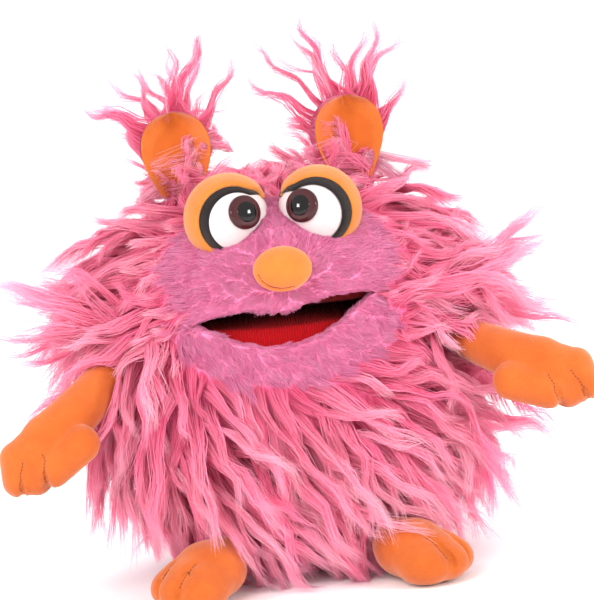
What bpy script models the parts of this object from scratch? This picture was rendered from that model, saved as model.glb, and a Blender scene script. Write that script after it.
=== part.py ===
"""Long-haired monster hand puppet with a moving mouth.

The puppet sits on a flat surface, on the open hem that a hand goes in through and on two stuffed feet.
+Z is up, the face looks along -Y, and the origin is the middle of its footprint on that surface.
Its pelt is one rounded form, cut by planes through the fold of the mouth into head, jaw and body.
"""

from math import ceil, cos, pi, radians, sin, sqrt

import bmesh
import bpy
from mathutils import Matrix, Vector

for old in list(bpy.data.objects):
    bpy.data.objects.remove(old, do_unlink=True)

MM = 0.001
SIDES = {"left": -1, "right": 1}

# Driving dimensions, in millimetres
GAP = 0.4                       # between sewn neighbours
BODY_AXIS_Y = 12.5              # the pelt's upright axis, behind the middle of the footprint
# Outline of the pelt from hem to crown: height, half width, depth in front, depth behind
PELT_STATIONS = [
    (0, 54, 50, 52),
    (10, 68, 62, 64),
    (36, 82, 74, 76),
    (74, 93, 84, 85),
    (110, 97, 84, 87),
    (142, 94, 87, 82),
    (168, 82, 80, 69),
    (187, 60, 58, 48),
    (199, 33, 31, 26),
    (203, 0, 0, 0),
]
PELT_ROUNDNESS = 2.2            # 2 is an ellipse, more is squarer
PELT_THICKNESS = 5.0
PELT_SEGMENTS = 30
PADDING_THICKNESS = 8.0

# The fold of the mouth, which the head and the jaw turn about
FOLD_AHEAD = 38                 # in front of the pelt's axis
FOLD_HEIGHT = 135
FOLD_CLEARANCE = 4.0            # radius kept free round the fold
MOUTH_HALF_WIDTH = 46

# Planes through the fold, in degrees up from straight ahead
PALATE_ANGLE = 8
JAW_ANGLE = -10
CHIN_ANGLE = -32
CHEST_ANGLE = -52
NAPE_LOW_ANGLE = -166
NAPE_HIGH_ANGLE = -184

PLATE_HALF_WIDTH = 43
PLATE_START = 5.0
PLATE_END = 39.0
LINING_THICKNESS = 1.2
BOARD_THICKNESS = 1.6
FINGER_POCKET = (40, 20)        # half width, height
THUMB_POCKET = (24, 17)
POCKET_WALL = 1.6

EYE_SPACING = 22                # half the distance between the eyes
EYE_AHEAD = 60
EYE_HEIGHT = 183.5
EYE_RADIUS = 19.5
LID_RADIUS = 21.8
LASH_RADIUS = 21.2
IRIS_RADIUS = 8.5
PUPIL_RADIUS = 5.4
GAZE = (-8.5, -17.0, 3.0)       # where each iris sits, x towards the puppet's own outer side

NOSE_SIZE = (14.5, 10.0, 11.0)
NOSE_HEIGHT = 159

EAR_SPACING = 44
EAR_HINGE = (8, 199)            # ahead of the axis, height
EAR_FRONT_SIZE = (19.5, 5.0, 19.5)
EAR_BACK_SIZE = (27.0, 9.0, 33.0)

SHOULDER = (87, 66, 110)        # out, ahead, height
ARM_RADIUS = 11.5
ARM_LENGTH = {"left": 28, "right": 24}    # the left one is pulled further out of the hair
HAND_LENGTH = 44
HAND_SIZE = (17.0, 12.5)        # half height, half depth
ARM_DROOP = {"left": 38, "right": 21}
ARM_FORWARD = {"left": 6, "right": 14}

FOOT_CENTRE = (55, 86)
FOOT_YAW = 45
FOOT_SIZE = (31, 22, 34)        # half length, half width, height
SOLE_THICKNESS = 1.6
FOOT_HINGE_BACK = 24            # behind the foot's middle
FOOT_HINGE_HEIGHT = 17

HEM_HEIGHT = 3.0
LINING_BOTTOM = (44, 40)
LINING_TOP = (33, 27)
LINING_TOP_HEIGHT = 94


def place(x, ahead, z):
    """A point x to the side, ahead of the pelt's axis and z up, in metres in the part's frame."""
    return Vector((x, BODY_AXIS_Y - ahead, z)) * MM


FOLD = place(0, FOLD_AHEAD, FOLD_HEIGHT)


# Materials
def material(name, colour, roughness=0.9, metallic=0.0):
    """A plain Principled material, made once for each name."""
    found = bpy.data.materials.get(name)
    if found:
        return found
    made = bpy.data.materials.new(name)
    made.use_nodes = True
    shader = made.node_tree.nodes["Principled BSDF"]
    shader.inputs["Base Color"].default_value = (*colour, 1.0)
    shader.inputs["Roughness"].default_value = roughness
    shader.inputs["Metallic"].default_value = metallic
    made.diffuse_color = (*colour, 1.0)
    return made


def long_pile():
    return material("long_pile", (0.80, 0.17, 0.30))


def short_pile():
    return material("short_pile", (0.86, 0.19, 0.40))


def orange_fleece():
    return material("orange_fleece", (0.93, 0.23, 0.05))


def lid_fleece():
    return material("lid_fleece", (0.70, 0.29, 0.08))


def white_fleece():
    return material("white_fleece", (0.76, 0.64, 0.64))


def black_felt():
    return material("black_felt", (0.012, 0.010, 0.010))


def red_jersey():
    return material("red_jersey", (0.50, 0.010, 0.015))


def iris_plastic():
    return material("iris_plastic", (0.10, 0.030, 0.030), 0.15)


def pupil_plastic():
    return material("pupil_plastic", (0.004, 0.004, 0.004), 0.1)


def mouth_board():
    return material("mouth_board", (0.55, 0.42, 0.30), 0.8)


def wadding():
    return material("wadding", (0.85, 0.84, 0.80))


def glove_lining():
    return material("glove_lining", (0.62, 0.16, 0.26))


# Mesh building
def finish(name, mesh, origin, look):
    """Turns a bmesh in the part's frame into a named object whose origin is at the given point."""
    bmesh.ops.recalc_face_normals(mesh, faces=mesh.faces)
    mesh.transform(Matrix.Translation(-origin))
    data = bpy.data.meshes.new(name)
    mesh.to_mesh(data)
    mesh.free()
    data.shade_smooth()
    data.set_sharp_from_angle(angle=radians(40))
    made = bpy.data.objects.new(name, data)
    made.location = origin
    bpy.context.scene.collection.objects.link(made)
    data.materials.append(look)
    return made


def cutter(name, mesh):
    """A hidden guide for Boolean modifiers."""
    made = finish(name, mesh, Vector((0, 0, 0)), wadding())
    made.hide_render = True
    made.display_type = "WIRE"
    return made


def combine(target, tool, operation):
    """Adds a Boolean modifier, left live on the object."""
    step = target.modifiers.new(f"{operation.lower()} {tool.name}", "BOOLEAN")
    step.operation = operation
    step.solver = "EXACT"
    step.object = tool


def skin_rings(mesh, rings):
    """Joins rings of equal length into a tube of quads; a ring of one point is a pole."""
    rows = [[mesh.verts.new(point) for point in ring] for ring in rings]
    for low, high in zip(rows, rows[1:]):
        count = max(len(low), len(high))
        for i in range(count):
            j = (i + 1) % count
            corners = [low[i % len(low)], low[j % len(low)], high[j % len(high)], high[i % len(high)]]
            mesh.faces.new(list(dict.fromkeys(corners)))
    return rows


def solid_of_rings(rings):
    """A closed solid from rings; an end ring of more than one point gets a flat face."""
    mesh = bmesh.new()
    rows = skin_rings(mesh, rings)
    for row in (rows[0], rows[-1]):
        if len(row) > 1:
            mesh.faces.new(row)
    return mesh


def prism(outline, start, end):
    """Extrudes a closed outline of points by moving it from one offset to another."""
    return solid_of_rings([[point + start for point in outline], [point + end for point in outline]])


def ellipsoid(centre, half_sizes, turn=None, columns=16, rows=10):
    """An ellipsoid with half sizes in millimetres, turned by an optional matrix."""
    spin = turn or Matrix.Identity(3)
    half = Vector(half_sizes) * MM
    rings = []
    for row in range(rows + 1):
        lift = -cos(pi * row / rows)
        width = sqrt(max(0.0, 1 - lift * lift))
        count = columns if 0 < row < rows else 1
        ring = []
        for column in range(count):
            angle = 2 * pi * column / columns
            local = Vector((half.x * width * cos(angle), half.y * width * sin(angle), half.z * lift))
            ring.append(centre + spin @ local)
        rings.append(ring)
    return solid_of_rings(rings)


# The pelt's form
def smooth_through(points, position):
    """A Catmull-Rom curve through tuples, at a position counted in points."""
    first = tuple(2 * a - b for a, b in zip(points[0], points[1]))
    last = (points[-2][0], *(-value for value in points[-2][1:]))
    padded = [first, *points, last]
    index = min(int(position), len(points) - 2)
    t = position - index
    a, b, c, d = padded[index:index + 4]
    return tuple(
        0.5 * (2 * q + (r - p) * t + (2 * p - 5 * q + 4 * r - s) * t * t + (3 * q - p - 3 * r + s) * t ** 3)
        for p, q, r, s in zip(a, b, c, d)
    )


def pelt_point(position, angle):
    """A point on the pelt's outer face; angle 0 is the right side and 90 degrees is behind."""
    height, half_width, front, back = smooth_through(PELT_STATIONS, position)
    power = 2 / PELT_ROUNDNESS
    across, along = cos(angle), sin(angle)
    depth = back if along > 0 else front
    x = half_width * abs(across) ** power * (1 if across >= 0 else -1)
    ahead = -depth * abs(along) ** power * (1 if along >= 0 else -1)
    return place(x, ahead, height)


def pelt_layer_point(position, angle, inset):
    """A point the given number of millimetres under the pelt's outer face."""
    crown = len(PELT_STATIONS) - 1
    if position >= crown:
        return pelt_point(crown, 0) - Vector((0, 0, inset * MM))
    step = 0.02
    up = pelt_point(min(position + step, crown), angle) - pelt_point(max(position - step, 0), angle)
    around = pelt_point(position, angle + step) - pelt_point(position, angle - step)
    normal = around.cross(up)
    if position == 0:
        normal.z = 0
    return pelt_point(position, angle) - normal.normalized() * inset * MM


def pelt_layer(outer_inset, inner_inset, first_position=0):
    """A closed shell of the pelt between two depths, open at the hem like a bell."""
    crown = len(PELT_STATIONS) - 1
    positions = [i for i in range(crown + 1) if i >= first_position]
    positions.insert(-1, crown - 0.5)

    def ring(position, inset):
        count = 1 if position >= crown else PELT_SEGMENTS
        turns = [2 * pi * i / PELT_SEGMENTS for i in range(count)]
        return [pelt_layer_point(position, angle, inset) for angle in turns]

    outside = [ring(position, outer_inset) for position in positions]
    inside = [ring(position, inner_inset) for position in positions]
    mesh = bmesh.new()
    outer_rows = skin_rings(mesh, outside)
    inner_rows = skin_rings(mesh, inside)
    for i in range(PELT_SEGMENTS):
        j = (i + 1) % PELT_SEGMENTS
        mesh.faces.new([outer_rows[0][i], outer_rows[0][j], inner_rows[0][j], inner_rows[0][i]])
    return mesh


def front_of_pelt(height):
    """How far the pelt reaches ahead of its axis on the middle line, at a height."""
    low, high = 0.0, float(len(PELT_STATIONS) - 1)
    for _ in range(40):
        middle = (low + high) / 2
        if smooth_through(PELT_STATIONS, middle)[0] < height:
            low = middle
        else:
            high = middle
    return smooth_through(PELT_STATIONS, low)[2]


# Cutting planes through the fold of the mouth
def ray(degrees):
    """Unit direction in the side view, degrees up from straight ahead."""
    return Vector((0, -cos(radians(degrees)), sin(radians(degrees))))


def wedge(name, low, high, x_low=-200, x_high=200, margin=GAP / 2):
    """A wedge of space between two planes through the fold, drawn in by a margin."""
    reach = 330 * MM
    middle = ray((low + high) / 2)
    tip = FOLD + middle * (margin * MM / sin(radians((high - low) / 2)))
    steps = ceil((high - low) / 20)
    rim = [tip + ray(low + (high - low) * i / steps) * reach for i in range(steps + 1)]
    return cutter(name, prism([tip, *rim], Vector((x_low * MM, 0, 0)), Vector((x_high * MM, 0, 0))))


def fold_clearance():
    """A bar along the fold that every layer of the pelt stays clear of."""
    outline = []
    for i in range(16):
        outline.append(FOLD + ray(22.5 * i) * FOLD_CLEARANCE * MM)
    return cutter("fold_clearance", prism(outline, Vector((-0.2, 0, 0)), Vector((0.2, 0, 0))))


# Eyes
def eye_centre(side):
    return place(side * EYE_SPACING, EYE_AHEAD, EYE_HEIGHT)


def gaze(side):
    return Vector((side * GAZE[0], GAZE[1], GAZE[2])).normalized()


def half_space(name, centre, direction, distance):
    """A large block on the far side of a plane that faces along direction."""
    normal = Vector(direction).normalized()
    turn = Vector((0, 0, 1)).rotation_difference(normal).to_matrix()
    corners = [Vector((x, y, 0)) for x, y in ((-0.1, -0.1), (0.1, -0.1), (0.1, 0.1), (-0.1, 0.1))]
    outline = [centre + turn @ corner for corner in corners]
    return cutter(name, prism(outline, normal * distance * MM, normal * (distance + 90) * MM))


def turned_piece(centre, direction, profile, columns=16):
    """A round piece turned about direction, from a profile of radius and distance along it."""
    axis = Vector(direction).normalized()
    turn = Vector((0, 0, 1)).rotation_difference(axis).to_matrix()
    rings = []
    for radius, along in profile:
        count = columns if radius > 0 else 1
        ring = []
        for i in range(count):
            angle = 2 * pi * i / columns
            ring.append(centre + turn @ (Vector((radius * cos(angle), radius * sin(angle), along)) * MM))
        rings.append(ring)
    return solid_of_rings(rings)


def hollow_ball(centre, outer, inner):
    """A ball with a round hollow, to be opened by a cut."""
    mesh = ellipsoid(centre, (outer,) * 3, columns=20, rows=12)
    hollow = ellipsoid(centre, (inner,) * 3, columns=20, rows=12)
    bmesh.ops.recalc_face_normals(mesh, faces=mesh.faces)
    bmesh.ops.recalc_face_normals(hollow, faces=hollow.faces)
    bmesh.ops.reverse_faces(hollow, faces=hollow.faces)
    data = bpy.data.meshes.new("hollow")
    hollow.to_mesh(data)
    hollow.free()
    mesh.from_mesh(data)
    bpy.data.meshes.remove(data)
    return mesh


def keep_normals(name, mesh, look):
    """Like finish, for a shell whose inner face already points into its hollow."""
    data = bpy.data.meshes.new(name)
    mesh.to_mesh(data)
    mesh.free()
    data.shade_smooth()
    made = bpy.data.objects.new(name, data)
    bpy.context.scene.collection.objects.link(made)
    data.materials.append(look)
    return made


def build_eye(word, side):
    """Eyeball, eyelid, lash, iris and pupil of one eye."""
    centre = eye_centre(side)
    look = gaze(side)
    opening = (side * 0.45, 0.78, 0.44)
    brow = (side * 0.50, 0.0, 0.86)
    lid_edge = half_space(f"{word}_lid_edge", centre, opening, -5.0)
    lash_back = half_space(f"{word}_lash_back", centre, opening, -5.0 - GAP)
    lash_front = half_space(f"{word}_lash_front", centre, opening, -8.0)
    brow_side = half_space(f"{word}_brow_side", centre, brow, -10.0)
    behind = half_space(f"{word}_behind", centre, (0, 1, 0), 9.0)
    recess = [(IRIS_RADIUS + GAP, 17.0), (IRIS_RADIUS + GAP, 24.0)]

    ball = finish(f"{word}_eyeball", ellipsoid(centre, (EYE_RADIUS,) * 3, columns=20, rows=12),
                  centre, white_fleece())
    combine(ball, behind, "DIFFERENCE")
    combine(ball, cutter(f"{word}_iris_recess", turned_piece(centre, look, recess)), "DIFFERENCE")

    lid = keep_normals(f"{word}_eyelid", hollow_ball(centre, LID_RADIUS, EYE_RADIUS + GAP), lid_fleece())
    combine(lid, lid_edge, "INTERSECT")
    combine(lid, brow_side, "INTERSECT")
    combine(lid, behind, "DIFFERENCE")

    lash = keep_normals(f"{word}_lash", hollow_ball(centre, LASH_RADIUS, EYE_RADIUS + GAP), black_felt())
    combine(lash, lash_front, "INTERSECT")
    combine(lash, brow_side, "INTERSECT")
    combine(lash, lash_back, "DIFFERENCE")

    rim = IRIS_RADIUS
    disc = [(0, 17.4), (rim, 17.4), (rim, 19.0), (rim - 1.0, 20.2), (PUPIL_RADIUS + 0.6, 20.8), (0, 20.8)]
    finish(f"{word}_iris", turned_piece(centre, look, disc), centre, iris_plastic())
    dome = [(0, 21.2), (PUPIL_RADIUS, 21.2), (PUPIL_RADIUS - 1.4, 22.0), (0, 22.6)]
    finish(f"{word}_pupil", turned_piece(centre, look, dome), centre, pupil_plastic())
    return cutter(f"{word}_eye_socket", ellipsoid(centre, (LID_RADIUS + GAP,) * 3, columns=20, rows=12))


# Mouth
def plate_outline(degrees, lift, half_width, start, end):
    """A D-shaped outline on a plane through the fold, lifted off it, straight edge at the fold."""
    ahead = ray(degrees)
    up = ray(degrees + 90)
    outline = []
    for i in range(19):
        angle = pi * i / 18
        reach = start + (end - start) * sin(angle) ** 0.8
        side = half_width * cos(angle)
        outline.append(FOLD + Vector((side * MM, 0, 0)) + ahead * reach * MM + up * lift * MM)
    return outline


def mouth_plate(name, degrees, lift, thickness, look):
    """A flat D-shaped layer of the mouth; lift and thickness point away from the opening."""
    up = ray(degrees + 90) * (1 if degrees > 0 else -1)
    outline = plate_outline(degrees, 0, PLATE_HALF_WIDTH, PLATE_START, PLATE_END)
    mesh = prism(outline, up * lift * MM, up * (lift + thickness) * MM)
    return finish(name, mesh, FOLD, look)


def mouth_pocket(name, degrees, lift, size):
    """A sleeve for fingers or a thumb: a D-shaped box, open at the fold's side."""
    up = ray(degrees + 90) * (1 if degrees > 0 else -1)
    half_width, height = size
    outer = plate_outline(degrees, 0, half_width, PLATE_START + 1, PLATE_END - 3)
    inner = plate_outline(degrees, 0, half_width - POCKET_WALL, PLATE_START - 6, PLATE_END - 3 - POCKET_WALL)
    made = finish(name, prism(outer, up * lift * MM, up * (lift + height) * MM), FOLD, glove_lining())
    low, high = lift + POCKET_WALL, lift + height - POCKET_WALL
    combine(made, cutter(f"{name}_inside", prism(inner, up * low * MM, up * high * MM)), "DIFFERENCE")
    return mouth_room(f"{name}_room", degrees, half_width, lift + height)


def mouth_room(name, degrees, half_width, height):
    """A cutter that keeps the wadding clear of a plate or a pocket."""
    up = ray(degrees + 90) * (1 if degrees > 0 else -1)
    outline = plate_outline(degrees, 0, half_width + 1, PLATE_START - 6, PLATE_END + 1)
    return cutter(name, prism(outline, up * -MM, up * (height + 1) * MM))


def build_mouth():
    """Linings, boards and pockets of palate and jaw, and the fold between them."""
    layers = [("lining", LINING_THICKNESS, red_jersey()), ("board", BOARD_THICKNESS, mouth_board())]
    rooms = {}
    for word, degrees, pocket, size in (
        ("palate", PALATE_ANGLE, "finger_pocket", FINGER_POCKET),
        ("jaw", JAW_ANGLE, "thumb_pocket", THUMB_POCKET),
    ):
        lift = GAP
        for layer, thickness, look in layers:
            mouth_plate(f"{word}_{layer}", degrees, lift, thickness, look)
            lift += thickness + GAP
        plates = mouth_room(f"{word}_plates_room", degrees, PLATE_HALF_WIDTH, lift)
        rooms[word] = [plates, mouth_pocket(pocket, degrees, lift, size)]
    outline = [FOLD + ray(30 * i) * 1.5 * MM for i in range(12)]
    reach = Vector((PLATE_HALF_WIDTH * MM, 0, 0))
    finish("mouth_fold", prism(outline, -reach, reach), FOLD, red_jersey())
    return rooms


# Pelt, wadding and lining
def pelt_piece(name, space, look, inset=0.0, thickness=PELT_THICKNESS, first_position=0):
    """One piece of the pelt, or of a layer under it, inside a wedge of space."""
    mesh = pelt_layer(inset, inset + thickness, first_position)
    made = finish(name, mesh, FOLD, look)
    combine(made, space, "INTERSECT")
    return made


def build_pelt(sockets, rooms):
    """The outer skins of head, jaw and body, the soft gussets between them, and the wadding."""
    clearance = fold_clearance()
    head_space = wedge("head_space", PALATE_ANGLE, 360 + NAPE_HIGH_ANGLE)
    jaw_space = wedge("jaw_space", CHIN_ANGLE, JAW_ANGLE)
    chin_space = wedge("chin_space", CHEST_ANGLE, CHIN_ANGLE)
    body_space = wedge("body_space", NAPE_LOW_ANGLE, CHEST_ANGLE)
    nape_space = wedge("nape_space", NAPE_HIGH_ANGLE, NAPE_LOW_ANGLE)

    outline, wide = [], []
    for i in range(32):
        angle = 2 * pi * i / 32
        x, z = 52 * cos(angle), 164 + 32 * sin(angle)
        outline.append(place(x, 0, z))
        wide.append(place(x * (1 + GAP / 40), 0, 164 + (32 + GAP) * sin(angle)))
    ahead_near, ahead_far = Vector((0, -20 * MM, 0)), Vector((0, -140 * MM, 0))
    face_space = cutter("face_space", prism(outline, ahead_near, ahead_far))
    face_room = cutter("face_room", prism(wide, ahead_near, ahead_far))

    head = pelt_piece("head_skin", head_space, long_pile())
    face = pelt_piece("face_plush", head_space, short_pile())
    combine(face, face_space, "INTERSECT")
    combine(head, face_room, "DIFFERENCE")
    head_wadding = pelt_piece("head_wadding", head_space, wadding(), PELT_THICKNESS + GAP, PADDING_THICKNESS)
    chin = pelt_piece("chin_plush", jaw_space, short_pile())
    chin_wadding = pelt_piece("chin_wadding", jaw_space, wadding(), PELT_THICKNESS + GAP, PADDING_THICKNESS)
    body = pelt_piece("body_skin", body_space, long_pile())
    body_wadding = pelt_piece("body_wadding", body_space, wadding(), PELT_THICKNESS + GAP,
                              PADDING_THICKNESS, first_position=1)
    throat = pelt_piece("throat_gusset", chin_space, long_pile())
    nape = pelt_piece("nape_gusset", nape_space, long_pile())
    pieces = [head, face, head_wadding, chin, chin_wadding, body, body_wadding, throat, nape]
    for word, side in SIDES.items():
        edges = sorted((side * (MOUTH_HALF_WIDTH + GAP), side * 130))
        cheek_space = wedge(f"{word}_cheek_space", JAW_ANGLE, PALATE_ANGLE, *edges)
        pieces.append(pelt_piece(f"{word}_cheek_gusset", cheek_space, long_pile()))
    for piece in pieces:
        combine(piece, clearance, "DIFFERENCE")
    for layer, word in ((head_wadding, "palate"), (chin_wadding, "jaw")):
        for room in rooms[word]:
            combine(layer, room, "DIFFERENCE")
    for piece in (head, face, head_wadding):
        for socket in sockets:
            combine(piece, socket, "DIFFERENCE")


def oval(half_width, half_depth, z, count=32):
    """An upright oval ring round the pelt's axis."""
    turns = [2 * pi * i / count for i in range(count)]
    return [place(half_width * cos(t), -half_depth * sin(t), z) for t in turns]


def tube(name, outer_rings, inner_rings, look):
    """A tube open at both ends, from matching outer and inner rings."""
    mesh = bmesh.new()
    outer = skin_rings(mesh, outer_rings)
    inner = skin_rings(mesh, inner_rings)
    for end in (0, -1):
        count = len(outer[end])
        for i in range(count):
            j = (i + 1) % count
            mesh.faces.new([outer[end][i], outer[end][j], inner[end][j], inner[end][i]])
    return finish(name, mesh, place(0, 0, 0), look)


def build_sleeve():
    """The arm opening: a hem band on the floor and the glove lining that rises from it."""
    low, high = 0.0, HEM_HEIGHT
    outer = (48.0, 44.0)
    inner = (LINING_BOTTOM[0] - 1.0, LINING_BOTTOM[1] - 1.0)
    tube("hem_band", [oval(*outer, low), oval(*outer, high)], [oval(*inner, low), oval(*inner, high)],
         glove_lining())
    bottom, top = high + GAP, LINING_TOP_HEIGHT
    wall = 1.5
    rings = [(LINING_BOTTOM, bottom), ((38, 34), (bottom + top) / 2), (LINING_TOP, top)]
    tube("glove_lining",
         [oval(w, d, z) for (w, d), z in rings],
         [oval(w - wall, d - wall, z) for (w, d), z in rings], glove_lining())


# Nose, ears, arms and feet
def build_nose():
    depth = NOSE_SIZE[1]
    centre = place(0, front_of_pelt(NOSE_HEIGHT) + depth + 1.0, NOSE_HEIGHT)
    finish("nose", ellipsoid(centre, NOSE_SIZE), centre, orange_fleece())


def build_ear(word, side):
    """A cupped front panel and the long-haired back of one ear, hinged at its root."""
    x, (ahead, height) = side * EAR_SPACING, EAR_HINGE
    hinge = place(x, ahead, height)
    front = place(x, ahead + 9, height - 1 + EAR_FRONT_SIZE[2])
    back = place(x, ahead - 6, height - 1 + EAR_BACK_SIZE[2])
    finish(f"{word}_ear_front", ellipsoid(front, EAR_FRONT_SIZE), hinge, orange_fleece())
    finish(f"{word}_ear_back", ellipsoid(back, EAR_BACK_SIZE), hinge, long_pile())


def arm_frame(word, side):
    """Directions of one arm: along it, across it upwards, and across it to the front."""
    droop, forward = radians(ARM_DROOP[word]), radians(ARM_FORWARD[word])
    along = Vector((side * cos(droop) * cos(forward), -sin(forward), -sin(droop)))
    along.normalize()
    front = along.cross(Vector((0, 0, 1))).normalized() * side
    up = front.cross(along).normalized() * side
    return along, up, front


def build_arm(word, side):
    """Sleeve and stuffed hand of one arm, hinged at the shoulder."""
    along, up, front = arm_frame(word, side)
    shoulder = place(side * SHOULDER[0], SHOULDER[1], SHOULDER[2])

    def ring(distance, half_height, half_depth):
        turns = [2 * pi * i / 14 for i in range(14)]
        middle = shoulder + along * distance * MM
        return [middle + (up * half_height * cos(t) + front * half_depth * sin(t)) * MM for t in turns]

    r = ARM_RADIUS
    start = [[shoulder - along * r * MM]]
    for angle in (20, 42, 65, 90):
        width = r * sin(radians(angle))
        start.append(ring(-r * cos(radians(angle)), width, width))
    start.append(ring(ARM_LENGTH[word], r + 1.0, r))
    finish(f"{word}_arm_sleeve", solid_of_rings(start), shoulder, orange_fleece())

    tall, deep = HAND_SIZE
    wrist = ARM_LENGTH[word] + GAP
    rings = [ring(wrist, r + 1.0, r)]
    for share, height, depth in ((0.18, 0.86, 0.98), (0.42, 1.0, 1.0), (0.68, 0.96, 0.92), (0.88, 0.68, 0.66)):
        rings.append(ring(wrist + share * HAND_LENGTH, height * tall, depth * deep))
    rings.append([shoulder + along * (wrist + HAND_LENGTH) * MM])
    hand = finish(f"{word}_hand", solid_of_rings(rings), shoulder, orange_fleece())
    thumb_centre = shoulder + (along * (wrist + 11) - up * 11 + front * 8) * MM
    turn = Matrix((along, front, up)).transposed()
    thumb = cutter(f"{word}_thumb_form", ellipsoid(thumb_centre, (14, 9, 9), turn, 12, 8))
    combine(hand, thumb, "UNION")
    sleeve_room = [ring(-20, 14, 14), ring(wrist, 30, 30)]
    combine(hand, cutter(f"{word}_sleeve_room", solid_of_rings(sleeve_room)), "DIFFERENCE")


def foot_frame(side):
    """Middle of a foot on the floor, its direction from heel to toe, and the direction across."""
    yaw = radians(FOOT_YAW)
    toe = Vector((side * sin(yaw), -cos(yaw), 0))
    across = Vector((cos(yaw), side * sin(yaw), 0))
    return place(side * FOOT_CENTRE[0], FOOT_CENTRE[1], 0), toe, across


def foot_outline(side, scale=1.0):
    """A rounded foot with three toes."""
    centre, toe, across = foot_frame(side)
    half_length, half_width, _ = FOOT_SIZE
    points = []
    for i in range(36):
        angle = 2 * pi * i / 36
        toes = 0.05 * cos(6 * angle) if cos(angle) > 0.35 else 0.0
        reach = scale * (1 - 0.03 + toes)
        points.append(centre + (toe * half_length * cos(angle) + across * half_width * sin(angle)) * reach * MM)
    return points


def build_foot(word, side):
    """A stuffed upper and its sole, hinged at the heel."""
    centre, toe, _ = foot_frame(side)
    hinge = centre - toe * FOOT_HINGE_BACK * MM + Vector((0, 0, FOOT_HINGE_HEIGHT * MM))
    up = Vector((0, 0, MM))
    sole = prism(foot_outline(side, 0.93), up * 0, up * SOLE_THICKNESS)
    finish(f"{word}_foot_sole", sole, hinge, orange_fleece())
    base = SOLE_THICKNESS + GAP
    rings = []
    for lift in (0, 14, 32, 52, 74):
        angle = radians(lift)
        height = base + (FOOT_SIZE[2] - base) * sin(angle)
        rings.append([point + up * height for point in foot_outline(side, cos(angle) ** 0.7)])
    rings.append([centre + up * FOOT_SIZE[2]])
    finish(f"{word}_foot_upper", solid_of_rings(rings), hinge, orange_fleece())


def build_puppet():
    sockets = [build_eye(word, side) for word, side in SIDES.items()]
    rooms = build_mouth()
    build_pelt(sockets, rooms)
    build_sleeve()
    build_nose()
    for word, side in SIDES.items():
        build_ear(word, side)
        build_arm(word, side)
        build_foot(word, side)


build_puppet()
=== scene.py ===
from math import asin, atan2, ceil, cos, exp, pi, radians, sin, sqrt

import bmesh
import bpy
from mathutils import Matrix, Vector
from mathutils.bvhtree import BVHTree


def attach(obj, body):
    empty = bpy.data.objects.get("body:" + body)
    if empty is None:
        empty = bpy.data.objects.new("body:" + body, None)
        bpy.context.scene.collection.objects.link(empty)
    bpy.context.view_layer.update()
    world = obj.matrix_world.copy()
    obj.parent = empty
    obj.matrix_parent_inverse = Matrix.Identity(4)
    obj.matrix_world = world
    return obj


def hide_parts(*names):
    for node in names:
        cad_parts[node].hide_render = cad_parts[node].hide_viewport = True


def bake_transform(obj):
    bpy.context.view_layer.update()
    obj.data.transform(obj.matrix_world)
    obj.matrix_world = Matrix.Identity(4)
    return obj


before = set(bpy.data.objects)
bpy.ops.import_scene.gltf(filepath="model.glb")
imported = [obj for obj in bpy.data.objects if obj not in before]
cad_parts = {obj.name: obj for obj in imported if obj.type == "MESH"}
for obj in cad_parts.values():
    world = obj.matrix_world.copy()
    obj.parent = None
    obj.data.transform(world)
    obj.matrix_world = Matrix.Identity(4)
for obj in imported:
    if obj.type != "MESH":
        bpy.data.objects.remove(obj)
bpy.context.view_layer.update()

# Lengths are in millimetres up to the point where a mesh is made.
mm = 0.001
sides = {"left": -1, "right": 1}

scene = bpy.context.scene
scene.view_settings.view_transform = "Standard"


# ---- node trees: one class for sockets, one for trees
class Wire:
    # a socket that arithmetic works on; each operator adds a Math or Vector Math node
    def __init__(self, tree, socket):
        self.tree, self.socket = tree, socket

    def isVector(self):
        return self.socket.type == "VECTOR"

    def work(self, operation, *values):
        vector = any(isinstance(v, Vector) or (isinstance(v, Wire) and v.isVector()) for v in values)
        if not vector:
            return self.tree.add("ShaderNodeMath", {"operation": operation}, *values)
        if operation == "MULTIPLY":
            plain = [v for v in values if not (isinstance(v, Vector) or (isinstance(v, Wire) and v.isVector()))]
            if plain:
                other = values[0] if values[1] is plain[0] else values[1]
                return self.tree.add("ShaderNodeVectorMath", {"operation": "SCALE"}, other, Scale=plain[0])
        return self.tree.add("ShaderNodeVectorMath", {"operation": operation}, *values)

    def __add__(self, other):
        return self.work("ADD", self, other)

    def __radd__(self, other):
        return self.work("ADD", other, self)

    def __sub__(self, other):
        return self.work("SUBTRACT", self, other)

    def __rsub__(self, other):
        return self.work("SUBTRACT", other, self)

    def __mul__(self, other):
        return self.work("MULTIPLY", self, other)

    def __rmul__(self, other):
        return self.work("MULTIPLY", other, self)

    def __truediv__(self, other):
        return self.work("DIVIDE", self, other)

    def __pow__(self, other):
        return self.work("POWER", self, other)


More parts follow.
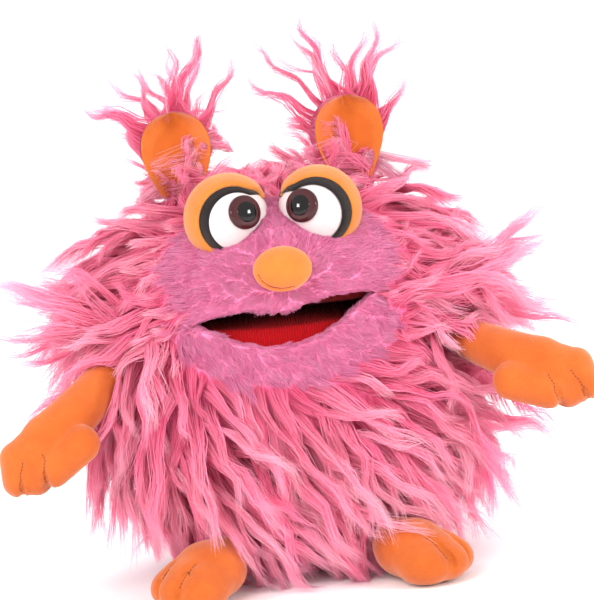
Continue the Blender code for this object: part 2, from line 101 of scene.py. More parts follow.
class Tree:
    def __init__(self, nodeTree):
        self.tree = nodeTree
        self.lastNode = None

    def add(self, kind, settings=None, *values, out=0, **named):
        # any node: its settings first, then the values or links of its sockets in order or by name
        node = self.tree.nodes.new(kind)
        for key, value in (settings or {}).items():
            setattr(node, key, value)
        live = [socket for socket in node.inputs if socket.enabled]
        pairs = list(zip(live, values)) + [(self.byName(live, key), value) for key, value in named.items()]
        for socket, value in pairs:
            if isinstance(value, Wire):
                self.tree.links.new(value.socket, socket)
            elif value is not None:
                socket.default_value = value
        self.lastNode = node
        return self.output(node, out)

    def byName(self, sockets, name):
        return next(socket for socket in sockets if socket.name.replace(" ", "") == name)

    def output(self, node, which=0):
        live = [socket for socket in node.outputs if socket.enabled]
        if not live:
            return None
        chosen = live[which] if isinstance(which, int) else next(s for s in live if s.name == which)
        return Wire(self, chosen)

    def function(self, operation, *values):
        return self.add("ShaderNodeMath", {"operation": operation}, *values)

    def vector(self, operation, *values):
        return self.add("ShaderNodeVectorMath", {"operation": operation}, *values)

    def blend(self, factor, first, second):
        kind = "VECTOR" if isinstance(first, Wire) and first.isVector() else "FLOAT"
        return self.add("ShaderNodeMix", {"data_type": kind, "clamp_factor": False}, factor, first, second)


# ---- materials
def newMaterial(name):
    made = bpy.data.materials.new(name)
    made.use_nodes = True
    made.node_tree.nodes.clear()
    return made, Tree(made.node_tree)


def principled(shade, colour, roughness=0.9, **constants):
    shader = shade.add("ShaderNodeBsdfPrincipled", None)
    node = shade.lastNode
    for name, value in (("Base Color", colour), ("Roughness", roughness)):
        if isinstance(value, Wire):
            shade.tree.links.new(value.socket, node.inputs[name])
        else:
            node.inputs[name].default_value = value
    for key, value in constants.items():
        name = key.replace("_", " ")
        if isinstance(value, Wire):
            shade.tree.links.new(value.socket, node.inputs[name])
        else:
            node.inputs[name].default_value = value
    return shader


def endWith(shade, shader):
    shade.add("ShaderNodeOutputMaterial", None, shader)


def mixColours(shade, factor, first, second):
    return shade.add("ShaderNodeMix", {"data_type": "RGBA"}, factor, first, second)


def objectPoint(shade):
    return shade.add("ShaderNodeTexCoord", None, out="Object")


def noiseAt(shade, point, scale, detail=3.0, roughness=0.55):
    return shade.add("ShaderNodeTexNoise", None, point, Scale=scale, Detail=detail, Roughness=roughness)


def rgb(red, green, blue):
    return (red, green, blue, 1.0)


# root: painted shade near the roots of the hair; tip: painted highlight on its ends
pileLooks = {
    "longPile": {
        "mid": rgb(0.96, 0.23, 0.43), "light": rgb(1.0, 0.51, 0.68), "dusty": rgb(0.94, 0.45, 0.55),
        "root": rgb(0.66, 0.05, 0.17), "tip": rgb(1.0, 0.76, 0.82),
        "rootShare": 0.84, "tipShare": 0.8, "glow": rgb(0.96, 0.36, 0.54), "glowShare": 0.42,
    },
    "shortPile": {
        "mid": rgb(0.69, 0.20, 0.385), "light": rgb(0.79, 0.31, 0.50), "dusty": rgb(0.72, 0.25, 0.42),
        "root": rgb(0.62, 0.11, 0.27), "tip": rgb(0.82, 0.38, 0.56),
        "rootShare": 0.5, "tipShare": 0.4, "glow": rgb(0.76, 0.25, 0.45), "glowShare": 0.36,
    },
}


def pileMaterial(name):
    # hair: painted shade darkening it towards the root, one tone for each lock, paler ends on the pale locks as a
    # painted highlight
    look = pileLooks[name]
    made, shade = newMaterial(name)
    tone = shade.add("ShaderNodeAttribute", {"attribute_name": "tone"}, out="Fac")
    strand = shade.add("ShaderNodeAttribute", {"attribute_name": "strand"}, out="Fac")
    along = shade.add("ShaderNodeAttribute", {"attribute_name": "along"}, out="Fac")
    drift = noiseAt(shade, objectPoint(shade), 22.0, 2.0)
    base = mixColours(shade, tone * 0.75 + strand * 0.25, look["mid"], look["light"])
    base = mixColours(shade, (drift - 0.42) * 2.2, base, look["dusty"])
    # painted shade: darker towards the root of each hair
    base = mixColours(shade, ((1.0 - along) * look["rootShare"]) ** 1.6, base, look["root"])
    # painted highlight: paler towards the ends of the pale locks
    base = mixColours(shade, along ** 3.0 * tone * look["tipShare"], base, look["tip"])
    fibre = principled(shade, base, 0.62, Sheen_Weight=0.35, Sheen_Roughness=0.5,
                       Sheen_Tint=rgb(1.0, 0.72, 0.82), Specular_IOR_Level=0.25)
    glow = shade.add("ShaderNodeBsdfTranslucent", None, look["glow"])
    endWith(shade, shade.add("ShaderNodeMixShader", None, look["glowShare"], fibre, glow))
    return made


def backingMaterial():
    # the knitted backing and the dense underwool between the hairs, with painted shade under the long hair
    made, shade = newMaterial("pileBacking")
    point = objectPoint(shade)
    mottle = noiseAt(shade, point, 260.0, 4.0)
    far = shade.add("ShaderNodeAttribute", {"attribute_name": "longHaired"}, out="Fac")
    near = mixColours(shade, mottle, rgb(0.70, 0.16, 0.33), rgb(0.80, 0.24, 0.42))
    # painted shade: the darker backing colour where the hair is long
    deepShade = mixColours(shade, mottle, rgb(0.60, 0.06, 0.19), rgb(0.86, 0.17, 0.36))
    colour = mixColours(shade, far, near, deepShade)
    bump = shade.add("ShaderNodeBump", None, Strength=0.6, Distance=0.0015, Height=noiseAt(shade, point, 700.0))
    endWith(shade, principled(shade, colour, 0.95, Normal=bump, Sheen_Weight=0.3))
    return made


fleeceLooks = {
    "orange": (rgb(0.47, 0.090, 0.0135), rgb(0.60, 0.140, 0.025)),
    "ear": (rgb(0.56, 0.125, 0.018), rgb(0.72, 0.205, 0.036)),
    "nose": (rgb(0.70, 0.145, 0.024), rgb(0.82, 0.20, 0.036)),
    "eyelid": (rgb(0.50, 0.155, 0.025), rgb(0.62, 0.215, 0.042)),
    "white": (rgb(0.60, 0.51, 0.51), rgb(0.70, 0.61, 0.61)),
    "felt": (rgb(0.008, 0.006, 0.007), rgb(0.022, 0.017, 0.018)),
    "thread": (rgb(0.20, 0.035, 0.008), rgb(0.32, 0.06, 0.012)),
}


def fleeceMaterial(name, look, nap=0.0006):
    # brushed fleece: soft clouds of tone, a fine matted nap, a pale bloom at grazing angles, and painted shade where a
    # piece marks its hollows
    low, high = fleeceLooks[look]
    made, shade = newMaterial(name)
    point = objectPoint(shade)
    clouds = noiseAt(shade, point, 60.0, 3.0)
    fine = noiseAt(shade, point, 1300.0, 4.0, 0.7)
    # painted shade: darker where a piece marks it, as in the ear's cup
    hollow = shade.add("ShaderNodeAttribute", {"attribute_name": "hollow"}, out="Fac")
    colour = mixColours(shade, (clouds - 0.3) * 1.7 + (fine - 0.5) * 1.1 - hollow * 1.3, low, high)
    height = fine * 0.6 + noiseAt(shade, point, 420.0, 3.0) * 0.4
    bump = shade.add("ShaderNodeBump", None, Strength=0.75, Distance=nap, Height=height)
    endWith(shade, principled(shade, colour, 0.92, Normal=bump, Sheen_Weight=0.45, Sheen_Roughness=0.45,
                              Sheen_Tint=rgb(1.0, 0.86, 0.74), Specular_IOR_Level=0.2))
    return made


def jerseyMaterial():
    # red knit: rows of small loops, darker between them
    made, shade = newMaterial("redJersey")
    point = objectPoint(shade)
    loops = shade.add("ShaderNodeTexWave", {"wave_type": "BANDS", "bands_direction": "X"}, point,
                      Scale=260.0, Distortion=2.5, Detail=2.0, DetailScale=3.0)
    colour = mixColours(shade, loops * 0.5 + noiseAt(shade, point, 900.0) * 0.5,
                        rgb(0.24, 0.002, 0.004), rgb(0.46, 0.006, 0.010))
    # painted shade: nearly black where a piece marks it, as inside the mouth
    hollow = shade.add("ShaderNodeAttribute", {"attribute_name": "hollow"}, out="Fac")
    colour = mixColours(shade, hollow, colour, rgb(0.035, 0.001, 0.001))
    bump = shade.add("ShaderNodeBump", None, Strength=0.7, Distance=0.0006, Height=loops)
    endWith(shade, principled(shade, colour, 0.9, Normal=bump, Sheen_Weight=0.1,
                              Sheen_Tint=rgb(1.0, 0.2, 0.2), Specular_IOR_Level=0.1))
    return made


def wovenMaterial():
    # plain lining cloth: threads over and under each other
    made, shade = newMaterial("wovenLining")
    point = objectPoint(shade)
    warp = shade.add("ShaderNodeTexWave", {"bands_direction": "X"}, point, Scale=420.0, Distortion=0.6)
    weft = shade.add("ShaderNodeTexWave", {"bands_direction": "Z"}, point, Scale=420.0, Distortion=0.6)
    weave = warp * weft
    worn = noiseAt(shade, point, 45.0)
    colour = mixColours(shade, weave * 0.6 + worn * 0.4, rgb(0.46, 0.09, 0.17), rgb(0.72, 0.22, 0.33))
    bump = shade.add("ShaderNodeBump", None, Strength=0.6, Distance=0.0003, Height=weave)
    endWith(shade, principled(shade, colour, 0.85, Normal=bump, Sheen_Weight=0.25))
    return made


def boardMaterial():
    # pressed fibre sheet: flecks of fibre in a tan ground
    made, shade = newMaterial("fibreSheet")
    point = objectPoint(shade)
    flecks = shade.add("ShaderNodeTexVoronoi", {"feature": "F1"}, point, Scale=900.0)
    colour = mixColours(shade, flecks * 0.7 + noiseAt(shade, point, 130.0) * 0.3,
                        rgb(0.42, 0.30, 0.20), rgb(0.62, 0.49, 0.35))
    bump = shade.add("ShaderNodeBump", None, Strength=0.3, Distance=0.0002, Height=flecks)
    endWith(shade, principled(shade, colour, noiseAt(shade, point, 60.0) * 0.3 + 0.55, Normal=bump))
    return made


def plasticMaterial(name, inner, outer, centreRadius):
    # a polished eye disc, darker to its rim
    made, shade = newMaterial(name)
    ring = shade.add("ShaderNodeAttribute", {"attribute_name": "ring"}, out="Fac")
    streaks = noiseAt(shade, objectPoint(shade), 900.0, 2.0)
    mix = shade.function("SMOOTH_MIN", ring * 1.15 + (streaks - 0.5) * 0.15, 1.0, 0.1)
    colour = mixColours(shade, mix, inner, outer)
    endWith(shade, principled(shade, colour, 0.06, Specular_IOR_Level=0.35))
    return made


# ---- the pelt's form, the same rounded form as the solid model's
form = {
    "axisY": 12.5,
    "stations": [
        (0, 54, 50, 52), (10, 68, 62, 64), (36, 82, 74, 76), (74, 93, 84, 85), (110, 97, 84, 87),
        (142, 94, 87, 82), (168, 82, 80, 69), (187, 60, 58, 48), (199, 33, 31, 26), (203, 0, 0, 0),
    ],
    "roundness": 2.2,
    "columns": 132,
    "headRows": 44,
    "bodyRows": 46,
    "deepInset": 7.0,       # skin under long hair
    "shallowInset": 2.5,    # skin under the short pile of the face
}
mouth = {
    "halfWidth": 45.0, "seam": 135.0, "cornerRise": 2.6, "cornerTilt": 0.085, "foldAhead": 38.0,
    "lipRise": 6.0, "lipDip": 5.0, "lipDipWidth": 12.0, "lipDrop": 19.0,
    "lipRoll": [(1.2, 0.5), (1.9, 2.2), (1.6, 4.4), (0.2, 7.0)],     # past the edge, inwards
}


def place(x, ahead, z):
    return Vector((x, form["axisY"] - ahead, z)) * mm


def throughStations(position):
    points = form["stations"]
    first = tuple(2 * a - b for a, b in zip(points[0], points[1]))
    last = (points[-2][0], *(-value for value in points[-2][1:]))
    padded = [first, *points, last]
    index = min(int(position), len(points) - 2)
    t = position - index
    a, b, c, d = padded[index:index + 4]
    return tuple(
        0.5 * (2 * q + (r - p) * t + (2 * p - 5 * q + 4 * r - s) * t * t + (3 * q - p - 3 * r + s) * t ** 3)
        for p, q, r, s in zip(a, b, c, d)
    )


crown = len(form["stations"]) - 1
heightTable = [(throughStations(crown * i / 900)[0], crown * i / 900) for i in range(901)]


def stationAt(height):
    # the position along the stations where the pelt has this height
    low, high = 0, 900
    while high - low > 1:
        middle = (low + high) // 2
        if heightTable[middle][0] < height:
            low = middle
        else:
            high = middle
    (za, pa), (zb, pb) = heightTable[low], heightTable[high]
    return pa + (pb - pa) * min(1.0, max(0.0, (height - za) / max(1e-6, zb - za)))


def plainPoint(position, angle):
    # angle 0 is the right side, 90 degrees is behind
    height, halfWidth, front, back = throughStations(position)
    power = 2 / form["roundness"]
    across, along = cos(angle), sin(angle)
    x = halfWidth * abs(across) ** power * (1 if across >= 0 else -1)
    ahead = (back if along > 0 else front) * abs(along) ** power * (-1 if along >= 0 else 1)
    return Vector((x, ahead, height))       # x, ahead of the axis, height


def bell(value, centre, width):
    return exp(-((value - centre) / width) ** 2)


def smoothStep(low, high, value):
    t = min(1.0, max(0.0, (value - low) / (high - low)))
    return t * t * (3 - 2 * t)


def faceDistance(x, ahead, z):
    # 0 in the middle of the short-haired face, 1 at its edge, more outside; large at the back
    upper = sqrt((x / 56) ** 2 + ((z - 160) / (30 if z > 160 else 34)) ** 2)
    lower = sqrt((x / 54) ** 2 + ((z - 126) / 25) ** 2)
    nearest = min(upper, lower)
    return nearest + 2.0 * smoothStep(44, 20, ahead)


def longness(x, ahead, z):
    return smoothStep(0.86, 1.45, faceDistance(x, ahead, z))


def peltNormal(position, angle):
    step = 0.02
    up = plainPoint(min(position + step, crown), angle) - plainPoint(max(position - step, 0), angle)
    around = plainPoint(position, angle + step) - plainPoint(position, angle - step)
    normal = up.cross(around)
    return normal.normalized() if normal.length > 1e-6 else Vector((0, 0, 1))


def skinPoint(position, angle, extraInset=0.0):
    # the visible skin: the pelt's form, drawn in under the hair and swollen at muzzle, bridge and chin
    position = min(position, crown - 0.02)
    spot = plainPoint(position, angle)
    x, ahead, z = spot
    normal = peltNormal(position, angle)
    inset = form["shallowInset"] + (form["deepInset"] - form["shallowInset"]) * longness(x, ahead, z)
    spot = spot - normal * (inset + extraInset)
    front = smoothStep(15, 50, ahead)
    bulge = 10.0 * bell(x, 0, 17) * bell(z, 178, 15) + 5.0 * bell(x, 0, 40) * bell(z, 152, 13)
    bulge += 4.0 * bell(x, 0, 38) * bell(z, 114, 15)
    spot.y += bulge * front
    return spot


def seamHeights(angle):
    # heights where the upper and the lower skin end: the lips in front, one shared seam elsewhere
    seam = mouth["seam"]
    x = plainPoint(stationAt(seam), angle).x
    if sin(angle) >= 0:
        return seam, seam, 0.0
    corner = seam + (mouth["cornerRise"] + mouth["cornerTilt"] * x) * smoothStep(88, 50, abs(x))
    share = 1 - (x / mouth["halfWidth"]) ** 2
    if share <= 0:
        return corner, corner, 0.0
    dip = mouth["lipDip"] * bell(x, 0, mouth["lipDipWidth"])
    return (corner + mouth["lipRise"] * share ** 0.35 - dip, corner - mouth["lipDrop"] * share, share ** 0.5)


def toMetres(spot):
    return place(spot.x, spot.y, spot.z)


def gridMesh(name, rows, closedRound=True, poleAtEnd=False):
    # quads between rows of points in metres
    mesh = bmesh.new()
    made = [[mesh.verts.new(point) for point in row] for row in rows]
    for low, high in zip(made, made[1:]):
        count = len(low) if closedRound else len(low) - 1
        for i in range(count):
            j = (i + 1) % len(low)
            mesh.faces.new([low[i], low[j], high[j], high[i]])
    if poleAtEnd:
        mesh.faces.new(made[-1])
    data = bpy.data.meshes.new(name)
    mesh.to_mesh(data)
    mesh.free()
    data.shade_smooth()
    thing = bpy.data.objects.new(name, data)
    scene.collection.objects.link(thing)
    return thing


def columnAngles():
    return [2 * pi * i / form["columns"] for i in range(form["columns"])]


def headSkinRows():
    rows = []
    angles = columnAngles()
    seams = [seamHeights(angle) for angle in angles]
    for drop, inwards in reversed(mouth["lipRoll"]):
        row = []
        for angle, (upper, _, share) in zip(angles, seams):
            station = stationAt(upper - drop * share + 0.3)
            row.append(toMetres(skinPoint(station, angle, inwards)))
        rows.append(row)
    for i in range(form["headRows"] + 1):
        share = i / form["headRows"]
        row = []
        for angle, (upper, _, _) in zip(angles, seams):
            start = stationAt(upper)
            station = start + (crown - 0.03 - start) * share ** 0.9
            row.append(toMetres(skinPoint(station, angle)))
        rows.append(row)
    return rows


def bodySkinRows():
    rows = []
    angles = columnAngles()
    seams = [seamHeights(angle) for angle in angles]
    for i in range(form["bodyRows"] + 1):
        share = i / form["bodyRows"]
        row = []
        for angle, (_, lower, _) in zip(angles, seams):
            station = stationAt(lower) * share
            row.append(toMetres(skinPoint(station, angle)))
        rows.append(row)
    for drop, inwards in mouth["lipRoll"]:
        row = []
        for angle, (_, lower, share) in zip(angles, seams):
            station = stationAt(lower + drop * share - 0.3)
            row.append(toMetres(skinPoint(station, angle, inwards)))
        rows.append(row)
    return rows


# ---- how the hair lies
def combAt(x, ahead, z):
    # direction that the hair points in, as (x, ahead, z), before it is laid into the surface
    if z > 132:
        outward = Vector((x, 0, z - 150))
        if outward.length < 1:
            outward = Vector((0, 0, 1))
        outward.normalize()
        rising = 0.05 + 0.40 * smoothStep(140, 176, z) if x > 0 else -0.16 + 0.75 * smoothStep(150, 182, z)
        cheek = Vector((1 if x > 0 else -1, 0.0, rising))
        frontWay = outward * 0.9 + cheek * smoothStep(25, 60, abs(x)) + Vector((0, -0.3, 0.8)) * smoothStep(178, 200, z)
        backWay = Vector((0.45 * x / 80, -0.4, -0.75))
        upWay = Vector((0.1 if x > 0 else -0.1, 0.15, 1.0))
        frontWay = frontWay.lerp(upWay, bell(abs(x), 44, 16) * smoothStep(176, 188, z))
        return frontWay.lerp(backWay, smoothStep(-12, -45, ahead))
    degrees = -115.0
    stops = ((-97, -128), (-84, -120), (-68, -92), (-50, -62), (-30, -50), (0, -44), (45, -30), (70, -26), (97, -22))
    for (xa, da), (xb, db) in zip(stops, stops[1:]):
        if xa <= x <= xb:
            degrees = da + (db - da) * (x - xa) / (xb - xa)
    degrees -= (30 * smoothStep(90, 30, z) if x > 0 else 0)
    degrees += 22 * smoothStep(60, 20, z) * smoothStep(-70, -90, x)
    frontWay = Vector((cos(radians(degrees)), 0.1, sin(radians(degrees))))
    backWay = Vector((0.5 * x / 90, -0.15, -0.9))
    return frontWay.lerp(backWay, smoothStep(5, -30, ahead))


def pileAt(x, ahead, z):
    # hair length, how steeply it leaves the skin, and how much it sags
    far = longness(x, ahead, z)
    behind = smoothStep(5, -40, ahead)
    top = smoothStep(188, 198, z)
    forehead = smoothStep(166, 184, z) * smoothStep(48, 24, abs(x)) * (1 - behind)
    shoulder = bell(abs(x), 74, 24) * bell(z, 124, 24) * smoothStep(10, 35, ahead)
    side = smoothStep(52, 80, abs(x)) * bell(z, 150, 42) * (1 - behind)
    length = 4.0 + far * (48.0 - 31.0 * forehead - 17.0 * behind + 12.0 * shoulder + 9.0 * side)
    if z < 132:
        length += 9.0 * far * smoothStep(130, 90, z) * (1 - behind)
    length += 9.0 * side * smoothStep(20, 60, x) * smoothStep(130, 160, z)
    length *= 1.0 - 0.68 * smoothStep(50, 16, z)
    length *= 1.0 - 0.50 * smoothStep(-35, -70, x) * smoothStep(96, 64, z)
    length *= 1.0 - 0.50 * smoothStep(35, 72, x) * smoothStep(76, 46, z)
    length *= 1.0 - 0.30 * (1 - far) * bell(abs(x), 20, 34) * bell(z, 140, 9)
    besideEar = bell(abs(x), 46, 16) * smoothStep(178, 190, z) * (1 - behind)
    length += 20.0 * besideEar
    lift = 0.40 + 0.10 * far + 0.22 * forehead + 0.22 * shoulder - 0.24 * behind + 0.22 * top + 0.4 * besideEar
    lift -= 0.22 * smoothStep(54, 24, z)
    sag = far * (0.08 if z > 132 else 0.14)
    return length, lift, sag


def dressScalp(thing):
    # comb, length, lift and sag of the hair, stored on each point of an emitter
    data = thing.data
    comb = data.attributes.new("comb", "FLOAT_VECTOR", "POINT")
    pile = data.attributes.new("pile", "FLOAT_VECTOR", "POINT")
    for i, vertex in enumerate(data.vertices):
        x, ahead, z = vertex.co.x / mm, form["axisY"] - vertex.co.y / mm, vertex.co.z / mm
        way = combAt(x, ahead, z)
        comb.data[i].vector = Vector((way.x, -way.y, way.z))
        length, lift, sag = pileAt(x, ahead, z)
        pile.data[i].vector = Vector((length * mm, lift, sag))


# ---- hair, made by one Geometry Nodes tree
furInputs = [
    ("Skin", "NodeSocketObject", None),
    ("Locks per square metre", "NodeSocketFloat", 15000.0),
    ("Hairs per square metre", "NodeSocketFloat", 1300000.0),
    ("Root width", "NodeSocketFloat", 0.00052),
    ("Clump", "NodeSocketFloat", 0.95),
    ("Wave height", "NodeSocketFloat", 0.0034),
    ("Wave length", "NodeSocketFloat", 0.029),
    ("Frizz", "NodeSocketFloat", 0.0023),
    ("Unruliness", "NodeSocketFloat", 0.6),
    ("Floor", "NodeSocketFloat", 0.0006),
    ("Highest", "NodeSocketFloat", 0.279),
    ("Rearmost", "NodeSocketFloat", 0.112),
    ("Steps", "NodeSocketInt", 6),
    ("Seed", "NodeSocketInt", 1),
    ("Material", "NodeSocketMaterial", None),
]


def randomValue(g, low, high, seed, vector=False):
    kind = "FLOAT_VECTOR" if vector else "FLOAT"
    return g.add("FunctionNodeRandomValue", {"data_type": kind}, low, high, Seed=seed)


def named(g, name, kind="FLOAT_VECTOR"):
    return g.add("GeometryNodeInputNamedAttribute", {"data_type": kind}, name)


def store(g, geometry, name, value, kind="FLOAT_VECTOR"):
    return g.add("GeometryNodeStoreNamedAttribute", {"data_type": kind, "domain": "POINT"}, geometry,
                 Name=name, Value=value)


def furTree():
    group = bpy.data.node_groups.new("hair", "GeometryNodeTree")
    face = group.interface
    face.new_socket("Geometry", in_out="INPUT", socket_type="NodeSocketGeometry")
    for name, kind, value in furInputs:
        socket = face.new_socket(name, in_out="INPUT", socket_type=kind)
        if value is not None:
            socket.default_value = value
    face.new_socket("Geometry", in_out="OUTPUT", socket_type="NodeSocketGeometry")
    g = Tree(group)
    g.add("NodeGroupInput")
    entry = g.lastNode
    given = {socket.name: Wire(g, socket) for socket in entry.outputs if socket.name}
    scalp, seed = given["Geometry"], given["Seed"]
    skin = g.add("GeometryNodeObjectInfo", {"transform_space": "RELATIVE"}, given["Skin"], out="Geometry")

    # locks: one guide each
    locks = g.add("GeometryNodeDistributePointsOnFaces", {"distribute_method": "RANDOM"}, scalp,
                  Density=given["Locks per square metre"], Seed=seed)
    lockNormal = g.output(g.lastNode, "Normal")
    stray = randomValue(g, (-1, -1, -1), (1, 1, 1), 11, True) * given["Unruliness"]
    way = named(g, "comb") + stray
    way = way - lockNormal * g.vector("DOT_PRODUCT", way, lockNormal)
    way = g.vector("NORMALIZE", way)
    pile = g.add("ShaderNodeSeparateXYZ", None, named(g, "pile"))
    split = g.lastNode
    length = g.output(split, "X") * (randomValue(g, 0.62, 1.22, 12))
    lift = g.output(split, "Y") + randomValue(g, -0.2, 0.22, 13)
    lockShape = g.add("ShaderNodeCombineXYZ", None, length, lift, randomValue(g, 0.0, 6.283, 14))
    lockTone = g.add("ShaderNodeCombineXYZ", None, randomValue(g, 0.0, 1.0, 15), g.output(split, "Z"),
                     randomValue(g, -1.0, 1.0, 16))

    # hairs: each takes its shape from the nearest lock
    hairs = g.add("GeometryNodeDistributePointsOnFaces", {"distribute_method": "RANDOM"}, scalp,
                  Density=given["Hairs per square metre"], Seed=seed + 1)
    hairNormal = g.output(g.lastNode, "Normal")
    position = g.add("GeometryNodeInputPosition")
    nearest = g.add("GeometryNodeSampleNearest", {"domain": "POINT"}, locks, position)

    def fromLock(value):
        return g.add("GeometryNodeSampleIndex", {"data_type": "FLOAT_VECTOR", "domain": "POINT"}, locks,
                     Value=value, Index=nearest)

    for name, value in (
        ("root", position), ("up", hairNormal), ("lockRoot", fromLock(position)),
        ("lockUp", fromLock(lockNormal)), ("lockWay", fromLock(way)), ("lockShape", fromLock(lockShape)),
        ("lockTone", fromLock(lockTone)), ("stray", randomValue(g, (-1, -1, -1), (1, 1, 1), 21, True)),
        ("twist", randomValue(g, (-1, -1, -1), (1, 1, 1), 22, True)),
        ("single", randomValue(g, (0, 0, 0), (1, 1, 1), 23, True)),
    ):
        hairs = store(g, hairs, name, value)

    strip = g.add("GeometryNodeMeshGrid", None, 1.0, 1.0, 2, given["Steps"])
    spot = g.add("GeometryNodeInputPosition")
    g.add("ShaderNodeSeparateXYZ", None, spot)
    flat = g.lastNode
    strip = store(g, strip, "across", g.output(flat, "X"), "FLOAT")
    strip = store(g, strip, "along", g.output(flat, "Y") + 0.5, "FLOAT")
    hairs = g.add("GeometryNodeInstanceOnPoints", None, hairs, Instance=strip)
    hairs = g.add("GeometryNodeRealizeInstances", None, hairs)

    # the curve of each hair, a formula of how far along it a point is
    t = named(g, "along", "FLOAT")
    single = g.add("ShaderNodeSeparateXYZ", None, named(g, "single"))
    singles = g.lastNode
    g.add("ShaderNodeSeparateXYZ", None, named(g, "lockShape"))
    shape = g.lastNode
    g.add("ShaderNodeSeparateXYZ", None, named(g, "lockTone"))
    tones = g.lastNode
    length = g.output(shape, "X") * (g.output(singles, "X") * 0.4 + 0.72)
    lift = g.function("MAXIMUM", g.function("MINIMUM", g.output(shape, "Y"), 0.93), 0.08)
    phase = g.output(shape, "Z")
    gather = (1.0 - (1.0 - t) ** 2.0) * given["Clump"] * (1.0 - g.output(singles, "Y") ** 5.0 * 0.5)
    root = g.blend(gather, named(g, "root"), named(g, "lockRoot"))
    up = g.blend(gather, named(g, "up"), named(g, "lockUp"))
    lockUp, lockWay = named(g, "lockUp"), named(g, "lockWay")
    side = g.vector("CROSS_PRODUCT", lockUp, lockWay)
    rise = length * lift * t * (1.0 - t * 0.42)
    run = length * t * g.function("SQRT", 1.0 - lift * lift * 0.75)
    curl = t ** 0.8 * given["Wave height"]
    turn = length * t * 6.283 / given["Wave length"] + phase
    ripple = g.function("SINE", turn + g.output(singles, "Z") * 0.6)
    ripple2 = g.function("COSINE", turn * 0.63 + phase * 2.0)
    bow = length * t * t * g.output(tones, "Z") * 0.22
    path = root + up * rise + lockWay * run
    path = path + side * (curl * ripple + bow) + lockUp * (curl * ripple2 * 0.7)
    path = path + named(g, "stray") * (t * t * given["Frizz"])
    down = length * t * t * g.output(tones, "Y")
    path = path + g.add("ShaderNodeCombineXYZ", None, 0.0, 0.0, down * -1.0)

    # keep it outside the skin and above the floor
    g.add("GeometryNodeProximity", {"target_element": "FACES"}, skin, SamplePosition=path)
    touch = g.output(g.lastNode, "Position")
    touchNormal = g.add("GeometryNodeSampleNearestSurface", {"data_type": "FLOAT_VECTOR"}, skin,
                        Value=g.add("GeometryNodeInputNormal"), SamplePosition=path)
    clear = g.vector("DOT_PRODUCT", path - touch, touchNormal)
    wanted = g.function("MINIMUM", length * t * 0.16, 0.0055) * (g.output(singles, "Y") * 0.8 + 0.4)
    push = g.function("MAXIMUM", wanted - clear, 0.0)
    push = g.function("MINIMUM", push, 0.03)
    path = path + touchNormal * push
    width = given["Root width"] * (1.0 - t ** 1.6 * 0.86)
    flatWay = g.vector("NORMALIZE", g.vector("CROSS_PRODUCT", lockWay * 0.8 + lockUp * 0.4, named(g, "twist")))
    path = path + flatWay * (named(g, "across", "FLOAT") * width)
    g.add("ShaderNodeSeparateXYZ", None, path)
    parts = g.lastNode
    above = g.function("MAXIMUM", g.output(parts, "Z"), given["Floor"])
    above = g.function("SMOOTH_MIN", above, given["Highest"], 0.01)
    ahead = g.function("SMOOTH_MIN", g.output(parts, "Y"), given["Rearmost"], 0.01)
    path = g.add("ShaderNodeCombineXYZ", None, g.output(parts, "X"), ahead, above)
    hairs = g.add("GeometryNodeSetPosition", None, hairs, Position=path)
    hairs = store(g, hairs, "tone", g.output(tones, "X"), "FLOAT")
    hairs = store(g, hairs, "strand", g.output(singles, "Z"), "FLOAT")
    hairs = g.add("GeometryNodeSetMaterial", None, hairs, Material=given["Material"])
    g.add("NodeGroupOutput", None, hairs)
    return group


helperAttributes = ("root", "up", "lockRoot", "lockUp", "lockWay", "lockShape", "lockTone", "stray", "twist",
                    "single", "across", "comb", "pile")


def growHair(name, emitter, skin, material, values):
    # runs the tree on an emitter and keeps the result as a plain mesh
    step = emitter.modifiers.new("hair", "NODES")
    step.node_group = hairGroup
    keys = {item.name: item.identifier for item in hairGroup.interface.items_tree if item.in_out == "INPUT"}
    step[keys["Skin"]] = skin
    step[keys["Material"]] = material
    for key, value in values.items():
        step[keys[key]] = value
    depsgraph = bpy.context.evaluated_depsgraph_get()
    data = bpy.data.meshes.new_from_object(emitter.evaluated_get(depsgraph), depsgraph=depsgraph)
    emitter.modifiers.remove(step)
    for attribute in helperAttributes:
        if attribute in data.attributes:
            data.attributes.remove(data.attributes[attribute])
    data.name = name
    data.shade_smooth()
    thing = bpy.data.objects.new(name, data)
    scene.collection.objects.link(thing)
    data.calc_loop_triangles()
    print(f"  {name}: {len(data.loop_triangles)} triangles")
    return thing


def emitterPart(name, source, keep):
    # the faces of a skin whose middle passes a test
    mesh = bmesh.new()
    mesh.from_mesh(source.data)
    drop = []
    for item in mesh.faces:
        c = item.calc_center_median()
        if not keep(c.x / mm, form["axisY"] - c.y / mm, c.z / mm):
            drop.append(item)
    bmesh.ops.delete(mesh, geom=drop, context="FACES")
    data = bpy.data.meshes.new(name)
    mesh.to_mesh(data)
    mesh.free()
    data.shade_smooth()
    thing = bpy.data.objects.new(name, data)
    scene.collection.objects.link(thing)
    dressScalp(thing)
    return thing


def discard(thing):
    data = thing.data
    bpy.data.objects.remove(thing, do_unlink=True)
    bpy.data.meshes.remove(data)


# ---- camera, light and floor
view = {
    "lens": 120.0, "distance": 1.0, "azimuth": -3.0, "elevation": 6.0, "roll": -5.8,
    "target": (0.0081, -0.030, 0.138),
}


